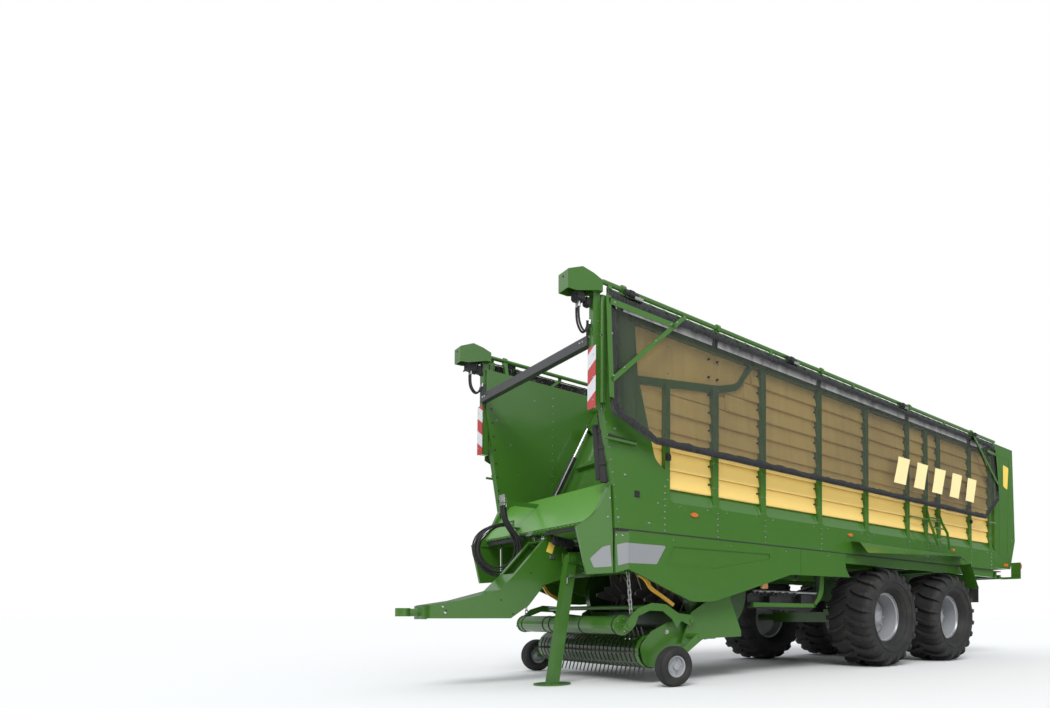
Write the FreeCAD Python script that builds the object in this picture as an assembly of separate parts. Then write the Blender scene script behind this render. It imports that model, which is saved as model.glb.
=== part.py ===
"""Loader wagon: towed forage trailer with pickup, feed rotor, tandem axles and swinging net covers.

Millimetres. +X is the wagon's left side, -Y its drawbar, +Z up from the ground.
Lengths along the wagon are measured from its front posts; the finished pieces are then
shifted so that the origin is under the middle of the whole wagon, on the ground.
"""
import FreeCAD, Part
import math
import os

V = FreeCAD.Vector
ACROSS = V(1, 0, 0)
ALONG = V(0, 1, 0)
UP = V(0, 0, 1)

# ---------------------------------------------------------------- overall
HITCH_TIP_Y = -1296.0        # front of the coupling spoon
REAR_Y = 8948.0              # fullest point of the tailgate
MID_Y = (HITCH_TIP_Y + REAR_Y) / 2
RUN_GAP = 0.3                # seat left between pieces of different bodies
SWING_GAP = 12.0             # room beside a piece that swings past another
PIN_GAP = 0.5                # radial room of a pin in its eye
PIN_SHARE = 0.7              # radius of a cylinder's pins against its rod

# ---------------------------------------------------------------- body walls
WALL_OUT_X = 1250.0          # outer face of the wall posts
WALL_IN_X = 1150.0           # inside face of the load space
BOARD_T = 33.0               # depth of the stepped boards
LINING_T = 6.0               # steel lining of the front of the walls
WALL_BASE_Z = 1518.0         # underside of the walls
SILL_TOP_Z = 1980.0          # top of the sill, where the boards start
SILL_FOLD_Z = 1840.0         # where the sill starts to lean inwards
WALL_TOP_Z = 3600.0          # top of the upper rail
RAIL_H = 60.0                # height of the upper rail
GATE_SEAM_Y = 8100.0         # joint between the walls and the tailgate
SEAM_GAP = 6.0               # running gap at that joint
WALL_FRONT_TOP_Y = 0.0       # front edge of the wall above the knee
WALL_FRONT_KNEE_Z = 3100.0
WALL_FRONT_LOW_Y = 190.0     # front edge where the hood meets it
WALL_FRONT_LOW_Z = 1940.0
WALL_FRONT_BASE_Y = 210.0
LINING_END_Y = 1516.0        # rear end of the steel lining
RIB_W = 80.0                 # width of a wall post
RIB_YS = (1476.0, 2213.0, 3235.0, 4243.0, 5286.0, 5805.0, 6188.0, 7213.0, 7951.0)
FRONT_PANEL_END_Y = 827.0    # rear edge of the smooth front panel, low down
FRONT_PANEL_TURN_Z = 2130.0
FRONT_PANEL_EDGE = ((670.0, 2244.0, 150.0), (577.0, 2593.0), (459.0, 3038.0), (415.0, 3600.0))
THIN_RIB_W = 60.0            # narrow post over that edge
UPPER_PANEL = ((459.0, 3038.0), (1560.0, 3206.0, 300.0), (1830.0, 3300.0, 200.0), (2040.0, 3600.0))
UPPER_PANEL_END_Y = 2040.0   # smooth upper panel between the posts
UPPER_SHEET_BACK = 3.0       # how far it lies behind the boards' outer steps
BAND_W = 80.0                # steel band under it
BAND_T = 26.0
COVER_STRIP_R = 40.0         # rounded strip over the front post
COVER_STRIP = (75.0, 2670.0, 3680.0)
BOARD_STEPS = 8              # steps in the boards' profile
STEP_FLAT = 0.72             # share of a step that stands out

# ---------------------------------------------------------------- front posts and crossbar
POST_HALF = 36.0             # half the side of a front post
POST_X = WALL_OUT_X - POST_HALF
POST_TOP_Z = 3701.0
POST_LOW_Z = 2590.0
CROSSBAR_Z = 3240.0
CROSSBAR_H = 90.0
CROSSBAR_T = 60.0
HANGER_H = 190.0             # bent strap over each end of the crossbar
HANGER_T = 12.0

LADDER_YS = (5800.0, 6160.0)
LADDER_LINES = (((1242.0, 2361.0), (1299.0, 2147.0), (1376.0, 1959.0), (1440.0, 1767.0)),
                ((1236.0, 2351.0), (1315.0, 2137.0), (1400.0, 1986.0), (1440.0, 1722.0)))
LADDER_RUNGS = ((1283.0, 2210.0), (1352.0, 2050.0), (1420.0, 1860.0), (1290.0, 2170.0))
LADDER_W = 40.0
LADDER_T = 12.0
RUNG_R = 12.0
GRAB_FRONT_Y = 5290.0        # front end of the grab bar, on a post
PEGS = ((70.0, 420.0, (170.0, 390.0)), (7800.0, 8060.0, (7951.0,)))
PEG_X = 1292.0
PEG_Z = 2342.0
PEG_R = 14.0
SIDE_LAMP_YS = (827.0, 7213.0)
SIDE_LAMP = (50.0, 56.0, 24.0)      # along, up, out
SIDE_LAMP_Z = 2285.0

BOARD_X = (1165.0, 1300.0)   # warning boards in front of the posts
BOARD_Z = (2595.0, 3170.0)
BOARD_PLATE_T = 4.0

# ---------------------------------------------------------------- net covers
COVER_X = 1268.0             # axis of the cover tubes
COVER_Z = 3797.0
COVER_TUBE_R = 24.0
COVER_FRONT_Y = 52.0
COVER_REAR_Y = 8084.0
LACE_X = 1290.0              # thin rail that each net is laced to
LACE_Z = 3740.0
LACE_R = 8.0
NET_HEM_X = 1385.0           # how far out the hem hangs
NET_T = 6.0
NET_FRONT_Y = 82.0
NET_REAR_Y = 8060.0
NET_HEM_Z = 2350.0
NET_FRONT_CUT = (490.0, 215.0)    # corner cut off the net in front, along and up
NET_REAR_CUT = (560.0, 400.0)
ARM_T = 9.0                  # thickness of the cover arms
ARM_W = 70.0
SADDLE_YS = (270.0, 1476.0, 3235.0, 5286.0, 7213.0)
CLAMP_YS = (117.0, 1010.0, 2300.0, 3900.0, 5000.0, 6300.0, 7290.0, 8025.0)
SADDLE_T = 40.0
SADDLE_RING_R = 40.0
MOTOR_REAR_Y = 40.0          # swing motor boxes ahead of the front posts
MOTOR_OUTLINE = ((-318.0, 3779.0, 12.0), (-317.0, 3609.0), (-228.0, 3613.0), (-13.0, 3689.0),
                 (MOTOR_REAR_Y, 3692.0), (MOTOR_REAR_Y, 3800.0), (-60.0, 3835.0, 20.0), (-169.0, 3854.0))
MOTOR_ROOM = ((-310.0, 3772.0), (-309.0, 3560.0), (-50.0, 3560.0), (-40.0, 3700.0), (-60.0, 3820.0),
              (-169.0, 3845.0))
MOTOR_T = 8.0
MOTOR_DRIVE = (-170.0, 3740.0, 55.0)
MOTOR_X = 1205.0
MOTOR_W = 170.0

# ---------------------------------------------------------------- tailgate
GATE_HINGE_Y = 8185.0
GATE_HINGE_Z = 3700.0
GATE_TOP_Z = 3784.0
GATE_TOP_REAR_Y = 8865.0
GATE_WIDE_Z = 2090.0
GATE_LOW_REAR_Y = 8738.0
GATE_LOW_Z = 1560.0
GATE_WING_T = 52.0
GATE_PANEL_T = 60.0
GATE_PIN_R = 22.0
GATE_ARM_T = 22.0
GATE_ARM_GAP = 5.0

LAMP_X = (1275.0, 1455.0)    # rear lamps beside the tailgate
LAMP_Z = (1535.0, 1675.0)
LAMP_PLATE_Y = 8712.0
LAMP_PLATE_T = 6.0
LAMP_DEEP = 45.0
LAMP_BEAM_Z = (1375.0, 1450.0)

# ---------------------------------------------------------------- front wall of the load space
WALL_PIVOT_Y = 641.0
WALL_PIVOT_Z = 1560.0
WALL_LEAN = 23.8             # degrees back from upright
WALL_LONG = 2090.0
WALL_SHEET_T = 30.0
WALL_RIB_H = 50.0
WALL_RIB_W = 60.0
WALL_SIDE_GAP = 12.0
WALL_PIN_R = 25.0
WALL_PIN_DEEP = 12.0         # how far the wall's pins reach into the side frames
WALL_CYL_X = 950.0
WALL_BARREL_R = 36.0
WALL_BARREL_LONG = 1150.0
WALL_ROD_R = 18.0
WALL_ROD_IN = 700.0
WALL_EYE_ROOM = 8.0
WALL_CYL_FOOT = (545.0, 1650.0)
WALL_CYL_HEAD = (1240.0, 3120.0)

# ---------------------------------------------------------------- drawbar
DRAWBAR_X = 185.0            # outer face of the drawbar's cheek plates
DRAWBAR_T = 14.0
DRAWBAR_FLANGE = 40.0        # width of the flanges beside its open top
DRAWBAR_PIVOT_Y = 470.0
DRAWBAR_PIVOT_Z = 1225.0
DRAWBAR_LUG_R = 80.0
DRAWBAR_PIN_R = 40.0
DRAWBAR_NOSE_Y = -1060.0     # front end of the drawbar, where the coupling bolts on
DRAWBAR_LOW_Z = 667.0
DRAWBAR_NOSE_TOP_Z = 790.0
DRAWBAR_TOP_LINE = ((DRAWBAR_NOSE_Y, DRAWBAR_NOSE_TOP_Z), (-772.0, 841.0), (-416.0, 946.0),
                    (-265.0, 1100.0), (53.0, 1480.0), (90.0, 1548.0), (150.0, 1552.0), (185.0, 1490.0))
DRAWBAR_WEB_POINTS = 5       # points of that line with a web under them
DRAWBAR_OPENING = ((-250.0, 1118.0), (40.0, 1464.0))    # middle line of the slot in that web
DRAWBAR_LOW_LINE = ((DRAWBAR_NOSE_Y, DRAWBAR_LOW_Z), (-295.0, DRAWBAR_LOW_Z), (-104.0, 802.0), (58.0, 1011.0),
                    (227.0, 1069.0))
DRAWBAR_HEAD = (125.0, 1510.0)      # pin of the drawbar cylinders
DRAWBAR_FOOT = (905.0, 1300.0)      # pin at the frame end of them
DRAWBAR_CYL_X = 105.0
DRAWBAR_BARREL_R = 42.0
DRAWBAR_BARREL_LONG = 560.0
DRAWBAR_ROD_R = 30.0
DRAWBAR_ROD_IN = 200.0       # distance from the foot to the rod's inner end
DRAWBAR_EYE_ROOM = 6.0
HITCH_Z = 722.0
HITCH_CUP_R = 62.0           # outside of the spoon
HITCH_BALL_R = 40.0          # socket for an 80 mm ball
HITCH_SHANK_R = 36.0
HITCH_FLANGE_T = 40.0

# ---------------------------------------------------------------- support leg
LEG_X = 380.0
LEG_TOP_Y = 246.0
LEG_TOP_Z = 1291.0
LEG_FOOT_Y = 51.0
LEG_TUBE = 100.0             # side of the square tube
LEG_PIN_R = 24.0
LEG_FOOT_R = 182.0
LEG_FOOT_T = 14.0

# ---------------------------------------------------------------- hood and skirts
HOOD_X = WALL_IN_X - RUN_GAP
HOOD_T = 10.0
HOOD_TOP = (300.0, 2000.0)
HOOD_LOW = (0.0, 1580.0)
HOOD_LIP = 60.0
SKIRT_T = 30.0
SKIRT_SPLIT_Y = 2867.0
SKIRT_FOLD_Y = 370.0         # the skirt is folded inwards ahead of this line
SKIRT_FOLD = 8.6             # degrees
NOSE_OUTLINE = ((-157.0, 1503.0), (-53.0, 1072.0), (208.0, 1097.0), (200.0, 1500.0), (176.0, 1930.0),
                (40.0, 1640.0, 420.0))
NOSE_CAP = ((-157.0, 1503.0), (198.0, 1500.0), (178.0, 1930.0), (40.0, 1640.0, 420.0))
INSET_DEEP = 4.0             # shallow panels pressed into the skirt
POCKET_DEEP = 10.0
NOSE_INSET = ((-24.0, 1220.0, 15.0), (16.0, 1135.0, 15.0), (196.0, 1154.0, 12.0), (179.0, 1359.0, 12.0),
              (102.0, 1337.0, 15.0))
FRONT_INSET = ((244.0, 1366.0), (335.0, 1391.0), (SKIRT_FOLD_Y, 1391.0), (SKIRT_FOLD_Y, 1196.0),
               (258.0, 1166.0))
BELLY_INSET = ((SKIRT_FOLD_Y, 1391.0), (815.0, 1394.0, 15.0), (700.0, 1201.0, 15.0), (SKIRT_FOLD_Y, 1196.0))
BELLY_POCKET = ((905.0, 1394.0, 20.0), (808.0, 1197.0, 20.0), (1463.0, 1196.0, 60.0), (2319.0, 1349.0, 20.0),
                (2319.0, 1411.0, 20.0))
BELLY_EDGE = ((1149.0, 842.0, 60.0), (1300.0, 839.0), (1472.0, 851.0, 120.0), (1956.0, 982.0),
              (2687.0, 1189.0, 200.0))

FENDER_OUT_X = 1450.0
FENDER_T = 5.0
FENDER_EDGE = ((3804.0, 1656.0), (3987.0, 1530.0), (6463.0, 1645.0), (6826.0, 1537.0))
FENDER_ROOT = ((3880.0, 1690.0), (4080.0, 1690.0), (6560.0, 1690.0), (6840.0, 1640.0))
FLAP_TOP = (7095.0, 1152.0)
FLAP_IN_X = 790.0
FLAP_T = 8.0
FLAP_H = 229.0

# ---------------------------------------------------------------- frame under the floor
RAIL_X = 470.0               # outer face of the long rails
RAIL_W = 90.0
RAIL_LOW_Z = 1190.0
FLOOR_Z = 1500.0             # underside of the floor
FLOOR_T = 20.0
FLOOR_FRONT_Y = 2330.0
FLOOR_REAR_Y = 8560.0
CROSS_YS = (2450.0, 3500.0, 4557.0, 5417.0, 6278.0, 7300.0, 8350.0)
CROSS_W = 80.0
CROSS_H = 110.0
GEAR_X = (988.0, 1000.0)     # valve carrier
GEAR_PLATE = ((2190.0, 1010.0, 20.0), (2190.0, 790.0, 30.0), (2900.0, 760.0), (3300.0, 735.0, 60.0),
              (3500.0, 860.0, 110.0), (3500.0, 1010.0, 40.0))
GEAR_HANGERS = ((2450.0, 1000.0), (3478.0, 1000.0))
GEAR_BAR = (2200.0, 2960.0, 965.0, 16.0)
GEAR_KNOBS = 6
GEAR_BLOCKS = ((2480.0, 2700.0, 800.0, 930.0, 90.0), (3060.0, 3260.0, 800.0, 960.0, 80.0))
CHEEK_X = 1050.0             # outer face of the feed cheeks
CHEEK_T = 16.0
FRONT_BEAM_Y = 640.0
FRONT_BEAM_Z = 1205.0
FRONT_BEAM_S = 150.0
CHEEK_BELLY = ((900.0, 1090.0), (1180.0, 960.0), (1560.0, 870.0), (1840.0, 870.0), (2080.0, 1070.0))
DECK_FRONT_Y = 672.0         # deck over the feed rotor
DECK_REAR_Y = 1920.0
DECK_Z = 1480.0
DECK_T = 10.0

# ---------------------------------------------------------------- scraper floor
CHAIN_XS = (-900.0, -330.0, 330.0, 900.0)
CHAIN_W = 40.0
CHAIN_T = 24.0
SLAT_PITCH = 480.0
SLAT_W = 50.0
SLAT_H = 34.0

# ---------------------------------------------------------------- feed rotor and channel
ROTOR_Y = 1700.0
ROTOR_Z = 960.0
ROTOR_R = 385.0
ROTOR_CORE_R = 150.0
ROTOR_SHAFT_R = 60.0
BEARING_R = 82.0             # bearing tubes of the rotor, which the pickup swings on
ROTOR_HALF = 930.0
ROTOR_STARS = 11
ROTOR_POINTS = 6
ROTOR_STAR_T = 24.0
CHANNEL_R = 425.0
CHANNEL_T = 10.0
KNIFE_COUNT = 20
KNIFE_T = 5.0

# ---------------------------------------------------------------- pickup
REEL_Y = 800.0
REEL_Z = 330.0
REEL_TIP_R = 265.0
REEL_BAR_R = 120.0
REEL_CORE_R = 60.0
REEL_SHAFT_R = 18.0
REEL_BORE_R = 19.5
REEL_ROWS = 5
TINE_COUNT = 25
TINE_T = 7.0
TINE_W = 12.0
STRIP_R = 176.0
STRIP_T = 4.0
STRIP_SIDES = 9
PICKUP_HALF = 1040.0         # inside of the pickup's end plates
PICKUP_PLATE_T = 12.0
PICKUP_ARM_X = 1085.0        # inner face of the lifting arms
PICKUP_ARM_T = 18.0
ROLLER_Y = 445.0
ROLLER_Z = 600.0
ROLLER_R = 92.0
ROLLER_HALF = 1040.0
ROLLER_ARM_X = 1125.0
ROLLER_ARM_T = 14.0
ROLLER_PIVOT = (1235.0, 640.0)
CHAIN_X = 1098.0             # holding chains of the press roller
CHAIN_TOP = (461.0, 1120.0)
CHAIN_LOW = (500.0, 722.0)
CHAIN_LINKS = 9
CHAIN_WIRE = 7.0
CHAIN_LINK_W = 36.0
CHAIN_PIN_R = 9.0
GAUGE_X = 1402.0
GAUGE_Y = 795.0
GAUGE_R = 198.0
GAUGE_W = 146.0
GAUGE_RIM_R = 104.0

# ---------------------------------------------------------------- wheels and axles
WHEEL_R = 680.0              # over the lugs
WHEEL_W = 710.0
WHEEL_X = 1120.0
LUG_H = 34.0
LUG_W = 56.0
LUG_TURN = 4.0               # degrees that a lug slants each way
LUG_COUNT = 13
RIM_R = 338.0
AXLE_FRONT_Y = 4557.0
AXLE_REAR_Y = 6278.0
TYRE_SIDES = 26
AXLE_S = 150.0
KINGPIN_X = 650.0
KINGPIN_R = 32.0
STUB_R = 52.0
HUB_R = 125.0
SPRING_X = 395.0
SPRING_W = 90.0
SPRING_PACK_H = 84.0
TIE_ARM = 250.0
TIE_R = 22.0


# ---------------------------------------------------------------- hoses to the tractor
HOSE_D = 22.0
HOSE_COUNT = 3
HOSE_X = -232.0              # first hose; the others lie beside it
HOSE_PITCH = 36.0
HOSE_DRIFT = 132.0           # how far each moves sideways from end to end
HOSE_ROUTE = ((-190.0, 1860.0), (-190.0, 1705.0), (20.0, 1480.0), (0.0, 1270.0), (-130.0, 1150.0),
              (-300.0, 1160.0), (-420.0, 1290.0), (-430.0, 1460.0), (-330.0, 1600.0), (-170.0, 1688.0),
              (-62.0, 1688.0))
HOLDER_X = (-330.0, -210.0)
HOLDER_TOP_Z = 1882.0
HOLDER_T = 8.0
BULKHEAD_Y = -30.0
COUPLING_R = 15.0
COUPLING_LONG = 105.0


# ================================================================ shape helpers
def block(x0, x1, y0, y1, z0, z1):
    """Box between two corners."""
    return Part.makeBox(x1 - x0, y1 - y0, z1 - z0, V(x0, y0, z0))


def face_of(points):
    """Flat face inside a closed outline of 3-D points."""
    return Part.Face(Part.makePolygon(points + [points[0]]))


def outline_face(corners, place):
    """Flat face inside (a, b) or (a, b, radius) corners; a radius rounds its corner with a tangent arc."""
    spots = [place(corner[0], corner[1]) for corner in corners]
    if all(len(corner) == 2 for corner in corners):
        return face_of(spots)
    arcs = []
    for i, corner in enumerate(corners):
        here = spots[i]
        back = (spots[i - 1] - here).normalize()
        ahead = (spots[(i + 1) % len(spots)] - here).normalize()
        if len(corner) == 2:
            arcs.append((here, None, here))
            continue
        half = back.getAngle(ahead) / 2
        reach = corner[2] / math.tan(half)
        belly = corner[2] / math.sin(half) - corner[2]
        arcs.append((here + back * reach, here + (back + ahead).normalize() * belly, here + ahead * reach))
    edges = []
    for i, (start, middle, end) in enumerate(arcs):
        if middle is not None:
            edges.append(Part.Arc(start, middle, end).toShape())
        following = arcs[(i + 1) % len(arcs)][0]
        if end.distanceToPoint(following) > 0.001:
            edges.append(Part.LineSegment(end, following).toShape())
    return Part.Face(Part.Wire(edges))


def side_cut(outline, x0, x1):
    """Plate between x0 and x1 with an outline of (y, z) or (y, z, radius) corners."""
    return outline_face(outline, lambda y, z: V(x0, y, z)).extrude(V(x1 - x0, 0, 0))


def long_cut(outline, y0, y1):
    """Bar from y0 to y1 with a section of (x, z) or (x, z, radius) corners."""
    return outline_face(outline, lambda x, z: V(x, y0, z)).extrude(V(0, y1 - y0, 0))


def beside(points, distance):
    """Line that runs beside a line of (a, b) points, that far to its left."""
    moved = []
    for i, (a, b) in enumerate(points):
        before, after = points[max(i - 1, 0)], points[min(i + 1, len(points) - 1)]
        da, db = after[0] - before[0], after[1] - before[1]
        length = math.hypot(da, db)
        moved.append((a - db / length * distance, b + da / length * distance))
    return moved


def ribbon(points, half):
    """Outline of a strip along (a, b) points, with that half width."""
    return beside(points, half) + list(reversed(beside(points, -half)))


def strip_beside(points, width):
    """Outline of a strip between a line and its parallel on the left."""
    return list(points) + list(reversed(beside(points, width)))


def rod(start, end, radius):
    """Round bar between two points."""
    a, b = V(*start), V(*end)
    return Part.makeCylinder(radius, (b - a).Length, a, b - a)


def cross_rod(x0, x1, y, z, radius):
    """Round bar across the wagon."""
    return Part.makeCylinder(radius, x1 - x0, V(x0, y, z), ACROSS)


def fused(shapes):
    """One clean solid from touching shapes."""
    whole = shapes[0].fuse(shapes[1:])
    return whole.removeSplitter()


def mirrored(shape):
    """The same piece on the other side of the wagon."""
    return shape.mirror(V(0, 0, 0), ACROSS)


def pair(shape):
    """The piece and its mirror image."""
    return [shape, mirrored(shape)]


def turned(outline, sides, start=0.0):
    """Closed ring about the X axis with flats, from (x, radius) points."""
    rings = []
    for x, radius in outline:
        ring = []
        for k in range(sides):
            angle = math.radians(start + 360.0 * k / sides)
            ring.append(V(x, radius * math.cos(angle), radius * math.sin(angle)))
        rings.append(ring)
    faces = []
    for i, ring in enumerate(rings):
        other = rings[(i + 1) % len(rings)]
        for k in range(sides):
            n = (k + 1) % sides
            faces.append(face_of([ring[k], ring[n], other[n], other[k]]))
    shell = Part.makeShell(faces)
    shell.sewShape()
    solid = Part.Solid(shell)
    if solid.Volume < 0:
        solid.reverse()
    return solid


def along_line(start, end, distance):
    """Point (y, z) on the way from start to end."""
    length = math.dist(start, end)
    share = distance / length
    return (start[0] + (end[0] - start[0]) * share, start[1] + (end[1] - start[1]) * share)


def save(name, shapes):
    """Write one sub-part, shifted to the wagon's own origin."""
    if not isinstance(shapes, list):
        shapes = [shapes]
    whole = shapes[0] if len(shapes) == 1 else Part.makeCompound(shapes)
    whole = whole.copy()
    whole.translate(V(0, -MID_Y, 0))
    whole.exportStep("parts/" + name + ".step")


# ================================================================ hydraulic cylinders
def cylinder_barrel(x, foot, head, barrel_r, rod_r, length):
    """Tube of a cylinder with its foot eye, bored for the rod."""
    tip = along_line(foot, head, length)
    start = along_line(foot, head, barrel_r * 0.6)
    body = rod((x, *start), (x, *tip), barrel_r)
    eye = cross_rod(x - barrel_r * 0.8, x + barrel_r * 0.8, foot[0], foot[1], barrel_r * 0.9)
    deep = along_line(foot, head, barrel_r * 1.6)
    bore = rod((x, *deep), (x, *along_line(foot, head, length + 1)), rod_r + PIN_GAP)
    pin_hole = cross_rod(x - barrel_r, x + barrel_r, foot[0], foot[1], rod_r * PIN_SHARE + PIN_GAP)
    return fused([body, eye]).cut(bore).cut(pin_hole)


def cylinder_rod(x, foot, head, rod_r, inside, eye_room):
    """Rod of a cylinder with an eye that has room to drift round its pin."""
    deep = along_line(foot, head, inside)
    body = rod((x, *deep), (x, *head), rod_r)
    eye_r = rod_r * PIN_SHARE + eye_room + rod_r * PIN_SHARE
    eye = cross_rod(x - rod_r - 2.0, x + rod_r + 2.0, head[0], head[1], eye_r)
    hole = cross_rod(x - eye_r, x + eye_r, head[0], head[1], rod_r * PIN_SHARE + eye_room)
    return fused([body, eye]).cut(hole)


# ================================================================ body of the wagon
def front_edge(offset):
    """Front edge of a side wall, from top to bottom, moved back by an offset."""
    return [(WALL_FRONT_TOP_Y + offset, WALL_FRONT_KNEE_Z),
            (WALL_FRONT_LOW_Y + offset, WALL_FRONT_LOW_Z),
            (WALL_FRONT_BASE_Y + offset, WALL_BASE_Z)]


def side_frame():
    """Steel frame of the left side wall: sill, posts, front panel, lining, top rail."""
    outer = WALL_OUT_X
    inner = WALL_IN_X + LINING_T + BOARD_T
    end = GATE_SEAM_Y
    sill = long_cut([(WALL_IN_X, WALL_BASE_Z), (outer, WALL_BASE_Z), (outer, SILL_FOLD_Z),
                     (inner, SILL_TOP_Z), (WALL_IN_X, SILL_TOP_Z)], WALL_FRONT_BASE_Y, end)
    rail = block(WALL_IN_X, outer, WALL_FRONT_TOP_Y, end, WALL_TOP_Z - RAIL_H, WALL_TOP_Z)
    edge = [(FRONT_PANEL_END_Y, WALL_BASE_Z), (FRONT_PANEL_END_Y,
                                               FRONT_PANEL_TURN_Z)] + list(FRONT_PANEL_EDGE)
    panel = side_cut([(WALL_FRONT_TOP_Y, WALL_TOP_Z)] + front_edge(0) + edge, inner, outer)
    lower = [(y, z - BAND_W, *radius) for y, z, *radius in UPPER_PANEL[:-1]]
    lower.append((UPPER_PANEL_END_Y + BAND_W, WALL_TOP_Z))
    band = side_cut(list(UPPER_PANEL) + list(reversed(lower)), inner, inner + BAND_T)
    lining = side_cut([(WALL_FRONT_TOP_Y, WALL_TOP_Z)] + front_edge(0)
                      + [(LINING_END_Y, WALL_BASE_Z), (LINING_END_Y, WALL_TOP_Z)],
                      WALL_IN_X, WALL_IN_X + LINING_T)
    nose = side_cut([(WALL_FRONT_TOP_Y, WALL_TOP_Z)] + front_edge(0)
                    + list(reversed(front_edge(24.0))) + [(WALL_FRONT_TOP_Y + 24.0, WALL_TOP_Z)],
                    WALL_IN_X, outer)
    ribs = []
    low_tops = (UPPER_PANEL[0][1], UPPER_PANEL[1][1] - BAND_W)
    rows = [(FRONT_PANEL_END_Y, THIN_RIB_W, low_tops[0]), (RIB_YS[0], RIB_W, low_tops[1])]
    rows += [(y, RIB_W, WALL_TOP_Z) for y in RIB_YS[1:]]
    for y, width, top in rows:
        ribs.append(long_cut([(inner, SILL_TOP_Z), (outer, SILL_FOLD_Z), (outer, top), (inner, top)],
                             y - width / 2, y + width / 2))
    post = block(POST_X - POST_HALF, POST_X + POST_HALF, WALL_FRONT_TOP_Y - POST_HALF,
                 WALL_FRONT_TOP_Y + POST_HALF, POST_LOW_Z, POST_TOP_Z)
    saddles = []
    for y in SADDLE_YS:
        neck = long_cut([(outer - 55.0, WALL_TOP_Z), (outer, WALL_TOP_Z), (COVER_X - 6.0, COVER_Z - 22.0),
                         (COVER_X - 30.0, COVER_Z - 22.0)], y - SADDLE_T / 2, y + SADDLE_T / 2)
        ring = Part.makeCylinder(SADDLE_RING_R, SADDLE_T, V(COVER_X, y - SADDLE_T / 2, COVER_Z), ALONG)
        hole = Part.makeCylinder(COVER_TUBE_R + RUN_GAP, SADDLE_T * 2, V(COVER_X, y - SADDLE_T, COVER_Z),
                                 ALONG)
        saddles.append(neck.fuse(ring).cut(hole))
    strip_y, strip_low, strip_top = COVER_STRIP
    strip = rod((outer - COVER_STRIP_R + 15.0, strip_y, strip_low),
                (outer - COVER_STRIP_R + 15.0, strip_y, strip_top), COVER_STRIP_R)
    strip = strip.common(block(inner, WALL_OUT_X + COVER_STRIP_R, -100.0, 300.0, strip_low, strip_top))
    whole = fused([sill, rail, panel, band, lining, nose, post, strip, gate_hinge()] + ribs + saddles)
    socket = cross_rod(WALL_IN_X - 1, WALL_IN_X + WALL_PIN_DEEP + 2, WALL_PIVOT_Y, WALL_PIVOT_Z,
                       WALL_PIN_R + PIN_GAP)
    return whole.cut(socket)


def ladder():
    """Two bent rails with rungs on the left wall, and the grab bar ahead of them."""
    parts = []
    for y, line in zip(LADDER_YS, LADDER_LINES):
        parts.append(long_cut(ribbon(line, LADDER_W / 2), y - LADDER_T / 2, y + LADDER_T / 2))
    front, rear = LADDER_YS
    for x, z in LADDER_RUNGS:
        parts.append(rod((x, front, z), (x, rear, z), RUNG_R))
    x, z = LADDER_RUNGS[-1]
    parts.append(rod((x, GRAB_FRONT_Y, z), (x, front, z), RUNG_R))
    parts.append(cross_rod(WALL_OUT_X, x, GRAB_FRONT_Y + RUNG_R, z, RUNG_R))
    post = block(WALL_OUT_X - 100.0, WALL_OUT_X + RUN_GAP, GRAB_FRONT_Y - 100.0, rear + 100.0, WALL_BASE_Z,
                 NET_HEM_Z + 100.0)
    return fused(parts).cut(post)


def pegs():
    """Rubber pegs on stand-offs, which the loose net is hooked on."""
    parts = []
    for front, rear, feet in PEGS:
        parts.append(rod((PEG_X, front, PEG_Z), (PEG_X, rear, PEG_Z), PEG_R))
        for y in feet:
            parts.append(cross_rod(WALL_OUT_X - 8.0, PEG_X, y, PEG_Z, PEG_R / 2))
    return parts


def warning_board():
    """Left warning board, a plate in front of the post."""
    rear = WALL_FRONT_TOP_Y - POST_HALF - RUN_GAP
    return block(BOARD_X[0], BOARD_X[1], rear - BOARD_PLATE_T, rear, BOARD_Z[0], BOARD_Z[1])


def side_lamps():
    """Small black lamps on posts of the left and right walls."""
    long, high, out = SIDE_LAMP
    lamps = []
    for y in SIDE_LAMP_YS:
        body = block(WALL_OUT_X + RUN_GAP, WALL_OUT_X + out, y - long / 2, y + long / 2,
                     SIDE_LAMP_Z - high / 2, SIDE_LAMP_Z + high / 2)
        lens = cross_rod(WALL_OUT_X + out - 1, WALL_OUT_X + out + 10.0, y, SIDE_LAMP_Z, long * 0.4)
        lamps.append(body.fuse(lens))
    return lamps + [mirrored(lamp) for lamp in lamps]


def rear_lamp():
    """Left rear lamp: a long housing with round ends on the lamp beam's plate."""
    x0, x1 = LAMP_X
    z0, z1 = LAMP_Z
    front = LAMP_PLATE_Y + LAMP_PLATE_T + RUN_GAP
    radius = (z1 - z0) * 0.4
    outline = [(x0, z0, radius), (x1, z0, radius), (x1, z1, radius), (x0, z1, radius)]
    return long_cut(outline, front, front + LAMP_DEEP)


def lamp_beam():
    """Beam behind the floor with an arm and a plate for each rear lamp."""
    half = WALL_IN_X
    z0, z1 = LAMP_BEAM_Z
    parts = [block(-half, half, FLOOR_REAR_Y - 60.0, FLOOR_REAR_Y, z0, z1)]
    arm = fused([block(half - 60.0, half, FLOOR_REAR_Y - 30.0, LAMP_PLATE_Y, z0, z0 + 40.0),
                 block(half - 60.0, LAMP_X[1], LAMP_PLATE_Y - 30.0, LAMP_PLATE_Y, z0, z0 + 40.0),
                 block(LAMP_X[0], LAMP_X[1], LAMP_PLATE_Y, LAMP_PLATE_Y + LAMP_PLATE_T, z0, LAMP_Z[1])])
    return parts + [arm, mirrored(arm)]


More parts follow.
